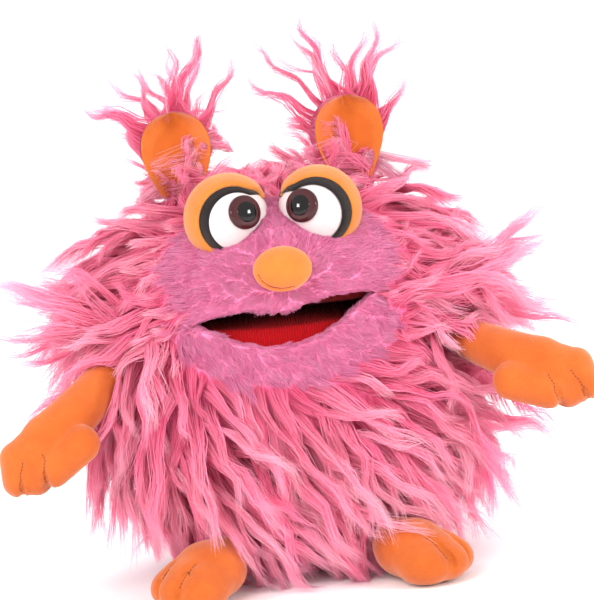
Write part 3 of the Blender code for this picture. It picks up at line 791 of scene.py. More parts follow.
def buildView():
    camera = bpy.data.objects.new("camera", bpy.data.cameras.new("camera"))
    scene.collection.objects.link(camera)
    camera.data.lens = view["lens"]
    camera.data.sensor_width = 36.0
    azimuth, elevation = radians(view["azimuth"]), radians(view["elevation"])
    back = Vector((sin(azimuth) * cos(elevation), -cos(azimuth) * cos(elevation), sin(elevation)))
    camera.location = Vector(view["target"]) + back * view["distance"]
    turn = back.to_track_quat("Z", "Y").to_matrix().to_4x4()
    spin = Matrix.Rotation(radians(view["roll"]), 4, "Z")
    camera.rotation_euler = (turn @ spin).to_euler()
    scene.camera = camera


lamps = {
    "key": ((-0.9, -1.5, 1.5), 1.1, 22.0),
    "fill": ((1.3, -1.2, 0.7), 1.4, 11.5),
    "back": ((0.4, 1.2, 1.3), 1.0, 14.0),
    "leftSpark": ((-0.80, -0.60, 0.42), 0.17, 3.2),
    "rightSpark": ((0.80, -0.64, 0.38), 0.17, 3.2),
}


def buildLight():
    for name, (spot, size, power) in lamps.items():
        lamp = bpy.data.objects.new(name, bpy.data.lights.new(name, "AREA"))
        scene.collection.objects.link(lamp)
        lamp.data.size = size
        lamp.data.energy = power
        lamp.visible_glossy = name.endswith("Spark")    # only the small lamps glint in the eyes
        lamp.location = spot
        lamp.rotation_euler = (Vector(spot) - Vector((0, 0, 0.12))).to_track_quat("Z", "Y").to_euler()
    world = bpy.data.worlds.new("studio")
    scene.world = world
    world.use_nodes = True
    world.node_tree.nodes["Background"].inputs[0].default_value = (1.0, 1.0, 1.0, 1.0)
    world.node_tree.nodes["Background"].inputs[1].default_value = 1.05


def buildFloor():
    # a pale sweep: flat under the puppet, curving up far behind it
    rows = []
    outline = [(-3.0, 0.0), (1.6, 0.0)]
    for i in range(1, 13):
        angle = radians(90 * i / 12)
        outline.append((1.6 + 0.9 * sin(angle), 0.9 - 0.9 * cos(angle)))
    outline.append((2.5, 3.0))
    for y, z in outline:
        rows.append([Vector((x, y, z)) for x in (-4.0, 4.0)])
    sweep = gridMesh("floor", rows, closedRound=False)
    made, shade = newMaterial("paleFloor")
    tint = mixColours(shade, noiseAt(shade, objectPoint(shade), 3.0), rgb(0.93, 0.93, 0.93), rgb(0.96, 0.96, 0.96))
    endWith(shade, principled(shade, tint, 0.9))
    sweep.data.materials.append(made)


# ---- eyes
eye = {
    "spacing": 22.0, "ahead": 60.0, "height": 183.5, "ball": 19.5, "lidOuter": 21.5, "lidInner": 20.2,
    "lash": 20.15, "openTilt": (3.0, -1.5), "openRadius": 17.8,
    "whiteTilt": (5.1, -2.0), "whiteRadius": 14.4,
    "lidSpan": (27.0, 246.0), "gaze": {-1: (7.9, -17.3, 3.0), 1: (9.1, -16.7, 3.4)}, "iris": 8.3, "pupil": 5.1,
}


def eyeCentre(side):
    return place(side * eye["spacing"], eye["ahead"], eye["height"])


def ballPoint(side, across, up, radius):
    # a point on a ball round the eye's middle; across is towards the nose
    reach = max(0.0, radius ** 2 - across ** 2 - up ** 2)
    return eyeCentre(side) + Vector((-side * across, -sqrt(reach), up)) * mm


def openingFrame(side, tilt, radius):
    # axis of a round opening on a ball, with directions towards the nose and up
    axis = Vector((-side * tilt[0], -sqrt(radius ** 2 - tilt[0] ** 2 - tilt[1] ** 2), tilt[1])).normalized()
    inner = Vector((-side, 0, 0))
    inner = (inner - axis * inner.dot(axis)).normalized()
    up = Vector((0, 0, 1))
    up = (up - axis * up.dot(axis) - inner * up.dot(inner)).normalized()
    return axis, inner, up


def bandPoint(side, tilt, radius, polar, turn):
    axis, inner, up = openingFrame(side, tilt, radius)
    outwards = inner * cos(turn) + up * sin(turn)
    return eyeCentre(side) + (axis * cos(polar) + outwards * sin(polar)) * radius * mm


def buildEye(word, side):
    centre = eyeCentre(side)
    across, forward, up = eye["gaze"][side]
    gaze = Vector((-side * across, forward, up)).normalized()
    turn = gaze.to_track_quat("Z", "Y").to_matrix()

    # ball: a padded dome, closed behind
    rows = []
    for i in range(1, 33):
        polar = radians(132 * i / 32)
        ring = []
        for j in range(56):
            around = 2 * pi * j / 56
            local = Vector((sin(polar) * cos(around), sin(polar) * sin(around), cos(polar)))
            ring.append(centre + turn @ local * eye["ball"] * mm)
        rows.append(ring)
    rows.insert(0, [centre + turn @ Vector((0.01 * cos(2 * pi * j / 56), 0.01 * sin(2 * pi * j / 56), 1)) *
                    eye["ball"] * mm for j in range(56)])
    ball = gridMesh(f"{word}_eyeball_cover", rows, poleAtEnd=True)
    mendNormals(ball)
    ball.data.materials.append(looks["white"])
    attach(ball, "head")
    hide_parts(f"{word}_eyeball")

    # lid: a hood with a rolled front edge
    low, high = (radians(value) for value in eye["lidSpan"])
    edge = asin(eye["openRadius"] / eye["lidOuter"])
    rows = []
    profile = [(0.10, "lidInner", 0.0), (0.03, "lidInner", 0.0), (0.0, "lidInner", 0.4), (-0.012, "lidOuter", -0.5),
               (0.01, "lidOuter", 0.05), (0.05, "lidOuter", 0.25)]
    count = 64
    for shift, key, extra in profile:
        rows.append([lidPoint(side, eye[key] + extra, edge + shift, low + (high - low) * j / count, low, high)
                     for j in range(count + 1)])
    for i in range(1, 13):
        polar = edge + 0.05 + (2.3 - edge - 0.05) * i / 12
        rows.append([lidPoint(side, eye["lidOuter"] + 0.1, polar, low + (high - low) * j / count, low, high)
                     for j in range(count + 1)])
    lid = gridMesh(f"{word}_eyelid_hood", rows, closedRound=False)
    thicken(lid, 0.5)
    lid.data.materials.append(looks["eyelid"])
    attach(lid, "head")
    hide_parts(f"{word}_eyelid")

    # lash: a black felt crescent between the lid's edge and the white
    rows = []
    for k in range(9):
        row = []
        for j in range(count + 1):
            share = j / count
            around = low - 0.03 + (high - low + 0.10) * share
            outerPolar = asin((eye["openRadius"] + 0.8) / eye["lash"]) + innerTaper(share)
            outer = bandPoint(side, eye["openTilt"], eye["lash"], outerPolar, around)
            inner = bandPoint(side, eye["whiteTilt"], eye["lash"], asin(eye["whiteRadius"] / eye["lash"]), around)
            taper = smoothStep(0.0, 0.16, share) * (1 - 0.75 * smoothStep(0.93, 1.0, share))
            spot = outer.lerp(inner, (k / 8) * (0.25 + 0.75 * taper))
            rise = eye["lash"] - 0.5 * (1 if k == 8 else 0)
            row.append(centre + (spot - centre).normalized() * rise * mm)
        rows.append(row)
    lash = gridMesh(f"{word}_lash_felt", rows, closedRound=False)
    thicken(lash, 0.5)
    lash.data.materials.append(looks["felt"])
    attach(lash, "head")
    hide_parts(f"{word}_lash")

    # eye disc: a domed iris with the pupil in its middle
    iris, pupil = eye["iris"], eye["pupil"]
    domes = (
        ("iris", iris, [(1.0, 17.4), (1.0, 18.6), (0.985, 19.3), (0.93, 19.95), (0.8, 20.5), (0.6, 20.95),
                        (0.3, 21.2), (0.0, 21.3)]),
        ("pupil", pupil, [(1.0, 20.4), (1.0, 21.05), (0.9, 21.35), (0.6, 21.75), (0.3, 21.95), (0.0, 22.0)]),
    )
    for part, size, shape in domes:
        rows, rings = [], []
        for share, along in shape:
            share = max(share, 0.002)
            rows.append([centre + turn @ Vector((share * size * cos(2 * pi * j / 48), share * size * sin(2 * pi * j / 48),
                                                 along)) * mm for j in range(48)])
            rings += [share] * 48
        disc = gridMesh(f"{word}_{part}_dome", rows, poleAtEnd=True)
        attribute = disc.data.attributes.new("ring", "FLOAT", "POINT")
        attribute.data.foreach_set("value", rings)
        mendNormals(disc)
        disc.data.materials.append(looks[part])
        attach(disc, "head")
        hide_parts(f"{word}_{part}")
    print(f"  {word} eye")


def innerTaper(share):
    # how far the hood and the lash draw back at their ends by the nose
    return 0.24 * (1 - smoothStep(0.0, 0.17, share))


def lidPoint(side, radius, polar, turn, low, high):
    # the hood thins out towards both of its ends
    share = (turn - low) / (high - low)
    polar += innerTaper(share)
    ends = smoothStep(0.0, 0.09, share) * (1 - smoothStep(0.95, 1.0, share))
    return bandPoint(side, eye["openTilt"], radius - 1.3 * (1 - ends), polar, turn)


def mendNormals(thing):
    mesh = bmesh.new()
    mesh.from_mesh(thing.data)
    bmesh.ops.remove_doubles(mesh, verts=mesh.verts, dist=1e-6)
    bmesh.ops.recalc_face_normals(mesh, faces=mesh.faces)
    mesh.to_mesh(thing.data)
    mesh.free()
    thing.data.shade_smooth()


def thicken(thing, thickness):
    # turns an open sheet into a closed solid, then applies it
    step = thing.modifiers.new("thickness", "SOLIDIFY")
    step.thickness = thickness * mm
    step.offset = -1.0
    applyModifiers(thing)
    mendNormals(thing)


def applyModifiers(thing):
    depsgraph = bpy.context.evaluated_depsgraph_get()
    data = bpy.data.meshes.new_from_object(thing.evaluated_get(depsgraph), depsgraph=depsgraph)
    thing.modifiers.clear()
    old = thing.data
    thing.data = data
    data.name = thing.name
    bpy.data.meshes.remove(old)


# ---- stuffed pieces: balls and tubes melted together, then seamed
def meltedForm(name, blobs, voxel=1.4, smoothing=6):
    # blobs: (middle, half sizes, rotation) in millimetres; the result is one soft closed form
    mesh = bmesh.new()
    for middle, half, turn in blobs:
        made = bmesh.ops.create_uvsphere(mesh, u_segments=28, v_segments=18, radius=1.0)
        size = Matrix.Diagonal((*half, 1.0))
        where = Matrix.Translation(middle) @ turn.to_4x4() @ size
        bmesh.ops.transform(mesh, matrix=Matrix.Diagonal((mm, mm, mm, 1.0)) @ where, verts=made["verts"])
    data = bpy.data.meshes.new(name)
    mesh.to_mesh(data)
    mesh.free()
    thing = bpy.data.objects.new(name, data)
    scene.collection.objects.link(thing)
    step = thing.modifiers.new("melt", "REMESH")
    step.mode = "VOXEL"
    step.voxel_size = voxel * mm
    step.use_smooth_shade = True
    soften = thing.modifiers.new("soften", "SMOOTH")
    soften.factor = 0.5
    soften.iterations = smoothing
    applyModifiers(thing)
    thing.data.shade_smooth()
    return thing


def creaseAlong(thing, lines, depth, width):
    # draws a sewn groove into a form along each line of points
    data = thing.data
    for vertex in data.vertices:
        pull = 0.0
        for line in lines:
            for a, b in zip(line, line[1:]):
                step = b - a
                share = min(1.0, max(0.0, (vertex.co - a).dot(step) / step.length_squared))
                gap = (vertex.co - a - step * share).length / mm
                if gap < 4 * width:
                    pull = max(pull, depth * exp(-(gap / width) ** 2))
        if pull > 0:
            vertex.co = vertex.co - vertex.normal * pull * mm
    data.update()


# ---- sewing thread in the creases, made by a small Geometry Nodes tree
threadInputs = [("Stitch length", "NodeSocketFloat", 0.0016), ("Thread radius", "NodeSocketFloat", 0.00032),
                ("Material", "NodeSocketMaterial", None)]


def threadTree():
    group = bpy.data.node_groups.new("thread", "GeometryNodeTree")
    face = group.interface
    face.new_socket("Geometry", in_out="INPUT", socket_type="NodeSocketGeometry")
    for name, kind, value in threadInputs:
        socket = face.new_socket(name, in_out="INPUT", socket_type=kind)
        if value is not None:
            socket.default_value = value
    face.new_socket("Geometry", in_out="OUTPUT", socket_type="NodeSocketGeometry")
    g = Tree(group)
    g.add("NodeGroupInput")
    given = {socket.name: Wire(g, socket) for socket in g.lastNode.outputs if socket.name}
    path = g.add("GeometryNodeMeshToCurve", None, given["Geometry"])
    path = g.add("GeometryNodeResampleCurve", {"mode": "LENGTH"}, path, Length=given["Stitch length"])
    stitch = g.add("GeometryNodeMeshUVSphere", None, 8, 6, 1.0)
    along = g.add("GeometryNodeInputTangent")
    turn = g.add("FunctionNodeAlignRotationToVector", {"axis": "X"}, Vector=along)
    size = g.add("ShaderNodeCombineXYZ", None, given["Stitch length"] * 0.46, given["Thread radius"],
                 given["Thread radius"])
    made = g.add("GeometryNodeInstanceOnPoints", None, path, Instance=stitch, Rotation=turn, Scale=size)
    made = g.add("GeometryNodeRealizeInstances", None, made)
    made = g.add("GeometryNodeSetMaterial", None, made, Material=given["Material"])
    g.add("NodeGroupOutput", None, made)
    return group


def sewAlong(name, form, lines, body):
    # one row of stitches on a form's surface along each line
    tree = BVHTree.FromPolygons([v.co.copy() for v in form.data.vertices],
                                [tuple(item.vertices) for item in form.data.polygons])
    mesh = bmesh.new()
    for line in lines:
        last = None
        for a, b in zip(line, line[1:]):
            for i in range(6):
                spot = tree.find_nearest(a.lerp(b, i / 6))[0]
                here = mesh.verts.new(spot)
                if last:
                    mesh.edges.new((last, here))
                last = here
    data = bpy.data.meshes.new(name)
    mesh.to_mesh(data)
    mesh.free()
    thing = bpy.data.objects.new(name, data)
    scene.collection.objects.link(thing)
    step = thing.modifiers.new("thread", "NODES")
    step.node_group = threadGroup
    keys = {item.name: item.identifier for item in threadGroup.interface.items_tree if item.in_out == "INPUT"}
    step[keys["Material"]] = looks["thread"]
    applyModifiers(thing)
    thing.data.shade_smooth()
    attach(thing, body)


arms = {
    "shoulder": (87.0, 66.0, 110.0),
    "droop": {"left": 38.0, "right": 21.0}, "forward": {"left": 6.0, "right": 14.0},
    "sleeve": {"left": 28.0, "right": 24.0}, "hand": 44.0,
}


def armFrame(word, side):
    droop, forward = radians(arms["droop"][word]), radians(arms["forward"][word])
    along = Vector((side * cos(droop) * cos(forward), -sin(forward), -sin(droop))).normalized()
    front = along.cross(Vector((0, 0, 1))).normalized() * side
    up = front.cross(along).normalized() * side
    return along, up, front


def buildArm(word, side):
    along, up, front = armFrame(word, side)
    x, ahead, z = arms["shoulder"]
    shoulder = Vector((side * x, form["axisY"] - ahead, z))
    turn = Matrix((along, front, up)).transposed()
    wrist, reach = arms["sleeve"][word], arms["hand"]

    def at(distance, lifted=0.0, forward=0.0):
        return shoulder + along * distance + up * lifted + front * forward

    blobs = []
    for i in range(12):      # the sleeve comes forward out of the fur
        share = i / 11
        blobs.append((at(-3 + (wrist + 9) * share, 1.5 * share, -22 * (1 - share) ** 1.5),
                      (9, 9.8 + 1.2 * share, 10.2 + 2.4 * share), turn))
    palm = wrist + 0.42 * reach
    blobs.append((at(palm - 5, 1.0), (17, 11.5, 14.0), turn))
    blobs.append((at(palm + 5, -0.5), (17, 11.5, 14.5), turn))

    def digit(start, finish, radius, depth):
        for i in range(7):
            share = i / 6
            blobs.append((start.lerp(finish, share), (radius, depth, radius), turn))

    digit(at(palm + 12, 6.0), at(palm + 18.5, -2.5), 8.6, 9.5)
    digit(at(palm + 5, 1.0), at(palm + 12.0, -7.5), 8.6, 9.5)
    digit(at(palm + 3, -8.5, 7), at(palm - 15.0, -9.0, 10.5), 9.6, 7.6)     # thumb, turned back to the body
    hand = meltedForm(f"{word}_arm_plush", blobs, 1.15, 5)
    lines = [
        [at(palm + 12.0, 5.0, 14), at(palm + 17.5, -1.0, 12), at(palm + 22.0, -7.5, 7), at(palm + 23.5, -9.5, 0),
         at(palm + 22.0, -7.5, -7), at(palm + 16.5, -1.0, -12)],
        [at(palm + 1.5, 2.0, 16), at(palm + 6.5, -5.0, 15), at(palm + 10.5, -12.0, 11), at(palm + 11.5, -16.5, 3)],
        [at(palm + 1.5, 2.0, 16), at(palm - 8.0, 2.0, 17), at(palm - 19.0, 0.5, 15), at(palm - 26.0, -4.0, 13)],
    ]
    lines = [[spot * mm for spot in line] for line in lines]
    creaseAlong(hand, lines, 2.0, 1.5)
    sewAlong(f"{word}_arm_thread", hand, [line[:3] for line in lines[:2]], f"{word}_arm")
    hand.data.materials.append(looks["orange"])
    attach(hand, f"{word}_arm")
    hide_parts(f"{word}_arm_sleeve", f"{word}_hand")
    print(f"  {word} arm")


feet = {"centre": (55.0, 86.0), "yaw": 45.0, "length": 31.0, "width": 22.0, "height": 34.0, "hingeBack": 24.0}


def buildFoot(word, side):
    yaw = radians(feet["yaw"])
    toe = Vector((side * sin(yaw), -cos(yaw), 0))
    across = Vector((cos(yaw), side * sin(yaw), 0))
    up = Vector((0, 0, 1))
    middle = Vector((side * feet["centre"][0], form["axisY"] - feet["centre"][1], 0))
    turn = Matrix((toe, across, up)).transposed()

    def at(forward, sideways, height):
        return middle + toe * forward + across * sideways + up * height

    blobs = [
        (at(-8, 0, 15), (19, 18, 15), turn), (at(-16, 0, 17), (12, 14, 13), turn), (at(1, 0, 12.5), (19, 19.5, 13), turn),
        (at(8, 0, 10.5), (17, 13.0, 11), turn), (at(6, 9.5, 10), (15, 11.0, 10.5), turn),
        (at(6, -9.5, 10), (15, 11.0, 10.5), turn), (at(5, 0, 8), (17, 18.5, 8), turn),
    ]
    foot = meltedForm(f"{word}_foot_plush", blobs, 1.4, 12)
    lines = []
    for s in (-1, 1):
        lines.append([at(8, s * 6.6, 22) * mm, at(15, s * 6.8, 19) * mm, at(21, s * 7.0, 14) * mm,
                      at(24, s * 7.0, 8) * mm, at(23, s * 7.0, 3) * mm])
    creaseAlong(foot, lines, 3.0, 1.7)
    sewAlong(f"{word}_foot_thread", foot, [line[:3] for line in lines], f"{word}_foot")
    for vertex in foot.data.vertices:       # pressed flat where it stands
        if vertex.co.z < 2.0 * mm:
            vertex.co.z = max(0.25 * mm, 2.0 * mm - (2.0 * mm - vertex.co.z) * 0.55)
    foot.data.update()
    foot.data.materials.append(looks["orange"])
    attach(foot, f"{word}_foot")
    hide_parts(f"{word}_foot_upper", f"{word}_foot_sole")
    print(f"  {word} foot")


nose = {"half": (14.0, 10.0, 10.8), "height": 159.0, "ahead": 95.0}


def buildNose():
    rows = []
    hx, hy, hz = nose["half"]
    for i in range(33):
        lift = -cos(pi * (i + 0.02) / 32.04)
        width = sqrt(max(0.0, 1 - lift * lift))
        row = []
        for j in range(64):
            around = 2 * pi * j / 64
            x, y, z = hx * width * cos(around), hy * width * sin(around), hz * lift
            droop = 1 + 0.05 * sin(around)
            row.append(place(x * droop, nose["ahead"] + y, nose["height"] + z))
        rows.append(row)
    made = gridMesh("nose_cover", rows, poleAtEnd=True)
    mendNormals(made)
    seam = [place(hx * 0.84 * cos(radians(a)), nose["ahead"] + 5.0, nose["height"] + hz * 0.84 * sin(radians(a)))
            for a in range(190, 300, 10)]
    creaseAlong(made, [seam], 1.1, 0.9)
    sewAlong("nose_thread", made, [seam], "head")
    made.data.materials.append(looks["nose"])
    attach(made, "head")
    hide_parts("nose")


# ---- ears
ears = {"spacing": 44.0, "ahead": 8.0, "root": 199.0, "halfWidth": 18.3, "tall": 38.0, "cup": 11.0, "rim": 3.2}


def earPoint(side, u, v, front):
    # u across (-1 outer to 1 inner edge), v up from the root; a cupped leaf
    outline = sqrt(max(0.0, 1 - abs(2 * v - 0.96) ** 2.4)) if v > 0.5 else 0.50 + 0.50 * sin(pi * v)
    x = ears["halfWidth"] * u * outline
    bowl = ears["cup"] * (u * u * 0.9 + (v - 0.35) ** 2 * 0.6)
    fold = 5.0 * smoothStep(0.35, 1.0, u) * bell(v, 0.55, 0.45)
    depth = bowl + fold + (0.0 if front else -ears["rim"] * (1 - u ** 4) * (1 - v ** 6))
    ahead = ears["ahead"] + 5.0 + depth
    return place(side * (ears["spacing"] - x), ahead, ears["root"] + 1.0 + ears["tall"] * v - 6.0 * (1 - v) ** 3)


def buildEarShell(word, side):
    acrossCount, upCount = 24, 26
    fronts, backs = [], []
    for i in range(upCount + 1):
        v = (i / upCount) ** 0.9 * 0.985
        fronts.append([earPoint(side, -1 + 2 * j / acrossCount, v, True) for j in range(acrossCount + 1)])
        backs.append([earPoint(side, 1 - 2 * j / acrossCount, v, False) for j in range(acrossCount + 1)])
    rows = [front + back for front, back in zip(fronts, backs)]
    made = gridMesh(f"{word}_ear_shell", rows, poleAtEnd=True)
    mendNormals(made)
    soften = made.modifiers.new("soften", "SMOOTH")
    soften.factor = 0.5
    soften.iterations = 5
    applyModifiers(made)
    made.data.shade_smooth()
    # painted shade in the ear's cup: darker towards the middle of the bowl
    hollow = made.data.attributes.new("hollow", "FLOAT", "POINT")
    for i, vertex in enumerate(made.data.vertices):
        x = abs(vertex.co.x) / mm - ears["spacing"]
        z = vertex.co.z / mm - ears["root"] - 17
        hollow.data[i].value = smoothStep(1.0, 0.35, sqrt((x / 15) ** 2 + (z / 17) ** 2))
    made.data.materials.append(looks["ear"])
    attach(made, f"{word}_ear")
    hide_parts(f"{word}_ear_front")


def buildEarFur(word, side):
    # the long-haired back of the ear: its own little scalp behind the shell
    back = bpy.data.objects.new(f"{word}_ear_scalp", bpy.data.meshes.new(f"{word}_ear_scalp"))
    scene.collection.objects.link(back)
    mesh = bmesh.new()
    bmesh.ops.create_uvsphere(mesh, u_segments=28, v_segments=20, radius=1.0)
    middle = place(side * ears["spacing"], ears["ahead"] - 4.0, ears["root"] + 20)
    bmesh.ops.delete(mesh, geom=[v for v in mesh.verts if v.co.y < -0.02], context="VERTS")
    for vertex in mesh.verts:
        vertex.co = middle + Vector((vertex.co.x * 18.5, vertex.co.y * 6.5, vertex.co.z * 18.5)) * mm
    mesh.to_mesh(back.data)
    mesh.free()
    comb = back.data.attributes.new("comb", "FLOAT_VECTOR", "POINT")
    pile = back.data.attributes.new("pile", "FLOAT_VECTOR", "POINT")
    for i, vertex in enumerate(back.data.vertices):
        local = (vertex.co - middle) / mm
        out = Vector((1.35 * local.x / 18.5, 0.42, local.z / 18.5 + 0.85)).normalized()
        comb.data[i].vector = out
        rising = smoothStep(-14, 10, local.z)
        pile.data[i].vector = Vector(((16 + 32 * rising) * mm, 0.34, 0.03))
    back.data.materials.append(looks["backing"])
    values = {"Seed": 40 + side, "Hairs per square metre": 1300000.0, "Locks per square metre": 17000.0,
              "Wave height": 0.0036, "Unruliness": 0.7, "Clump": 0.985, "Frizz": 0.0016}
    barrier = joinedCopy(f"{word}_ear_barrier", (back, bpy.data.objects[f"{word}_ear_shell"]))
    fur = growHair(f"{word}_ear_fur", back, barrier, looks["longPile"], values)
    discard(barrier)
    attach(back, f"{word}_ear")
    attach(fur, f"{word}_ear")
    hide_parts(f"{word}_ear_back")
    print(f"  {word} ear")


# ---- mouth
def lipPoint(upper, angle):
    top, bottom, share = seamHeights(angle)
    height = top - 0.2 * share if upper else bottom + 0.2 * share
    return skinPoint(stationAt(height), angle, 5.0)


def buildLining():
    # palate and floor of the mouth: each sheet runs from its lip back to the shared fold
    corner, half = mouth["seam"], mouth["halfWidth"]
    for name, upper, body, node, board in (("palate", True, "head", "palate_lining", "palate_board"),
                                           ("tongueFloor", False, "jaw", "jaw_lining", "jaw_board")):
        columns = []
        count = 46
        for j in range(count + 1):
            x = (-1 + 2 * j / count) * (half + 1.5)
            reach = plainPoint(stationAt(corner), 0).x
            share = min(1.0, abs(x) / reach) ** (form["roundness"] / 2)
            angle = -atan2(sqrt(1 - share * share), share) if x > 0 else -pi + atan2(sqrt(1 - share * share), share)
            lip = lipPoint(upper, angle)
            fold = Vector((x * 0.94, mouth["foldAhead"] + 0.5, corner + (0.6 if upper else -0.6)))
            column = []
            slope = 0.135 if upper else -0.155
            for i in range(25):
                t = (i / 24) ** 1.4
                spot = lip.lerp(fold, t)
                level = fold.z + slope * (spot.y - fold.y) + (-0.4 if upper else 0.6)
                spot.z = lip.z + (level - lip.z) * smoothStep(0.0, 0.13, t)
                column.append(toMetres(spot))
            columns.append(column)
        rows = [[column[i] for column in columns] for i in range(25)]
        sheet = gridMesh(f"{name}_sheet", rows, closedRound=False)
        thicken(sheet, 0.9)
        # painted shade inside the mouth: the palate dark all over and darker to the back, the floor darker towards the
        # back
        hollow = sheet.data.attributes.new("hollow", "FLOAT", "POINT")
        for i, vertex in enumerate(sheet.data.vertices):
            deepShade = smoothStep(-0.064, -0.036, vertex.co.y)
            hollow.data[i].value = 0.8 + 0.2 * deepShade if upper else 0.85 * deepShade
        sheet.data.materials.append(looks["jersey"])
        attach(sheet, body)
        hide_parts(node)
    print("  mouth lining")


hiddenLooks = {
    "palate_board": "board", "jaw_board": "board", "finger_pocket": "woven", "thumb_pocket": "woven",
    "glove_lining": "woven", "hem_band": "woven", "mouth_fold": "jersey",
}


def dressInside():
    # the solid model's own pieces that stay: boards, pockets, the glove's lining and its hem
    for node, look in hiddenLooks.items():
        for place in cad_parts[node].material_slots:
            place.material = looks[look]
    print("  boards, pockets and lining")


# ---- pelt
def buildPelt():
    headSkin = gridMesh("head_backing", headSkinRows(), poleAtEnd=True)
    bodySkin = gridMesh("body_backing", bodySkinRows())
    for thing in (headSkin, bodySkin):
        bmeshFlip(thing)
    limbs = [bpy.data.objects[f"{word}_{part}"] for word in sides
             for part in ("arm_plush", "foot_plush", "ear_shell")]
    wholeSkin = joinedCopy("whole_skin", (headSkin, bodySkin, *limbs))

    def cheekEdge(x, ahead, z):
        return abs(x) > 58 or ahead < 38

    shortPile = {"Hairs per square metre": 5200000.0, "Locks per square metre": 50000.0, "Root width": 0.00027,
                 "Clump": 0.2, "Wave height": 0.0002, "Steps": 3, "Unruliness": 0.45, "Frizz": 0.0006}
    regions = [
        # name, skin, test, body it is attached to (nape and chin: none, kept in place), material, values
        ("face_pile", headSkin, lambda x, a, z: longness(x, a, z) < 0.12, "head", "shortPile",
         shortPile),
        ("crown_fur", headSkin, lambda x, a, z: longness(x, a, z) >= 0.12 and z > 172, "head", "longPile", {}),
        ("left_cheek_fur", headSkin, lambda x, a, z: longness(x, a, z) >= 0.12 and z <= 172 and x < 0 and a > 5,
         "head", "longPile", {}),
        ("right_cheek_fur", headSkin, lambda x, a, z: longness(x, a, z) >= 0.12 and z <= 172 and x >= 0 and a > 5,
         "head", "longPile", {}),
        ("nape_fur", headSkin, lambda x, a, z: longness(x, a, z) >= 0.12 and z <= 172 and a <= 5, "nape", "longPile", {}),
        ("chin_pile", bodySkin, lambda x, a, z: longness(x, a, z) < 0.12, "chin", "shortPile",
         shortPile),
        ("throat_fur", bodySkin, lambda x, a, z: longness(x, a, z) >= 0.12 and not cheekEdge(x, a, z) and z > 78,
         "chin", "longPile", {}),
        ("side_fur", bodySkin, lambda x, a, z: longness(x, a, z) >= 0.12 and cheekEdge(x, a, z) and z > 78 and a > 5,
         "nape", "longPile", {}),
        ("left_back_fur", bodySkin, lambda x, a, z: z > 78 and a <= 5 and x < 0, "nape", "longPile", {}),
        ("right_back_fur", bodySkin, lambda x, a, z: z > 78 and a <= 5 and x >= 0, "nape", "longPile", {}),
        ("left_belly_fur", bodySkin, lambda x, a, z: z <= 78 and a > 5 and x < 0, "body", "longPile", {}),
        ("right_belly_fur", bodySkin, lambda x, a, z: z <= 78 and a > 5 and x >= 0, "body", "longPile", {}),
        ("left_rump_fur", bodySkin, lambda x, a, z: z <= 78 and a <= 5 and x < 0, "body", "longPile", {}),
        ("right_rump_fur", bodySkin, lambda x, a, z: z <= 78 and a <= 5 and x >= 0, "body", "longPile", {}),
    ]
    for number, (name, skin, test, follow, look, values) in enumerate(regions):
        emitter = emitterPart(f"{name}_emitter", skin, test)
        values = {"Seed": 100 + 7 * number, **values}
        fur = growHair(name, emitter, wholeSkin, looks[look], values)
        discard(emitter)
        followBody(fur, follow)
    discard(wholeSkin)

    for thing in (headSkin, bodySkin):
        longHaired = thing.data.attributes.new("longHaired", "FLOAT", "POINT")
        for i, vertex in enumerate(thing.data.vertices):
            x, ahead, z = vertex.co.x / mm, form["axisY"] - vertex.co.y / mm, vertex.co.z / mm
            longHaired.data[i].value = smoothStep(0.0, 0.3, longness(x, ahead, z))
    front = splitOff("throat_backing", bodySkin, lambda x, a, z: abs(x) < 64 and a > 34 and z > 70)
    for thing, follow in ((headSkin, "nape"), (bodySkin, "nape"), (front, "chin")):
        thing.data.materials.append(looks["backing"])
        followBody(thing, follow)
    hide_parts("head_skin", "face_plush", "head_wadding")
    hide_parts("body_skin", "nape_gusset", "left_cheek_gusset", "right_cheek_gusset", "body_wadding")
    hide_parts("chin_plush", "throat_gusset", "chin_wadding")


def followBody(thing, follow):
    if follow == "nape":
        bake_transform(thing)
    elif follow == "chin":
        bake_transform(thing)
    else:
        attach(thing, follow)


def bmeshFlip(thing):
    # points the open skin's faces outwards
    mesh = bmesh.new()
    mesh.from_mesh(thing.data)
    mesh.normal_update()
    middle = Vector((0, form["axisY"] * mm, 0.1))
    votes = sum(1 if item.normal.dot(item.calc_center_median() - middle) > 0 else -1 for item in mesh.faces)
    if votes < 0:
        bmesh.ops.reverse_faces(mesh, faces=mesh.faces)
    mesh.to_mesh(thing.data)
    mesh.free()
    thing.data.shade_smooth()


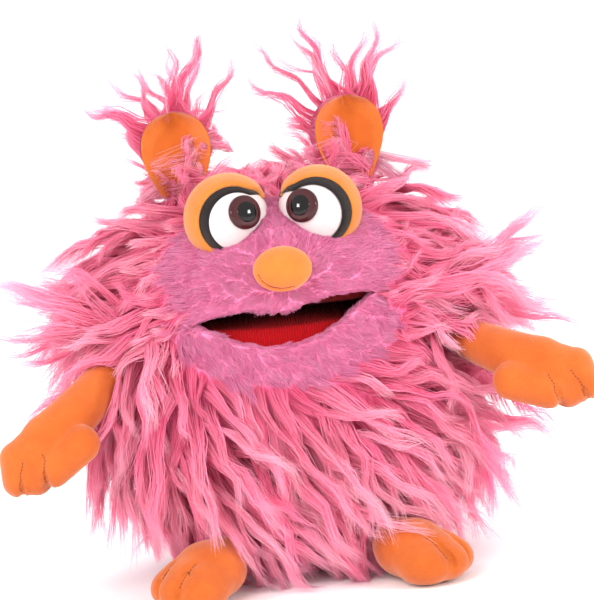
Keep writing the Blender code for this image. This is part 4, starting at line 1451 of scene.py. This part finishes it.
def joinedCopy(name, things):
    mesh = bmesh.new()
    for thing in things:
        mesh.from_mesh(thing.data)
    data = bpy.data.meshes.new(name)
    mesh.to_mesh(data)
    mesh.free()
    made = bpy.data.objects.new(name, data)
    scene.collection.objects.link(made)
    return made


def splitOff(name, source, test):
    # moves the faces that pass a test to a new object
    parts = []
    for keep in (True, False):
        mesh = bmesh.new()
        mesh.from_mesh(source.data)
        drop = []
        for item in mesh.faces:
            c = item.calc_center_median()
            if test(c.x / mm, form["axisY"] - c.y / mm, c.z / mm) != keep:
                drop.append(item)
        bmesh.ops.delete(mesh, geom=drop, context="FACES")
        data = bpy.data.meshes.new(name if keep else source.name)
        mesh.to_mesh(data)
        mesh.free()
        data.shade_smooth()
        parts.append(data)
    made = bpy.data.objects.new(name, parts[0])
    scene.collection.objects.link(made)
    old = source.data
    source.data = parts[1]
    bpy.data.meshes.remove(old)
    return made


looks = {
    "longPile": pileMaterial("longPile"),
    "shortPile": pileMaterial("shortPile"),
    "backing": backingMaterial(),
    "orange": fleeceMaterial("orangeFleece", "orange"),
    "ear": fleeceMaterial("earFleece", "ear"),
    "nose": fleeceMaterial("noseFleece", "nose"),
    "eyelid": fleeceMaterial("eyelidFleece", "eyelid"),
    "white": fleeceMaterial("whiteFleece", "white", 0.0004),
    "felt": fleeceMaterial("blackFelt", "felt"),
    "thread": fleeceMaterial("sewingThread", "thread", 0.0001),
    "jersey": jerseyMaterial(),
    "woven": wovenMaterial(),
    "board": boardMaterial(),
    "iris": plasticMaterial("irisPlastic", rgb(0.105, 0.022, 0.024), rgb(0.045, 0.009, 0.011), 0.6),
    "pupil": plasticMaterial("pupilPlastic", rgb(0.003, 0.003, 0.003), rgb(0.006, 0.004, 0.004), 0.6),
}

threadGroup = threadTree()

print("camera, light and floor")
buildView()
buildLight()
buildFloor()
print("face")
for word, side in sides.items():
    buildEye(word, side)
buildNose()
buildLining()
dressInside()
print("arms and feet")
for word, side in sides.items():
    buildArm(word, side)
    buildFoot(word, side)
    buildEarShell(word, side)
print("hair")
hairGroup = furTree()
buildPelt()
for word, side in sides.items():
    buildEarFur(word, side)
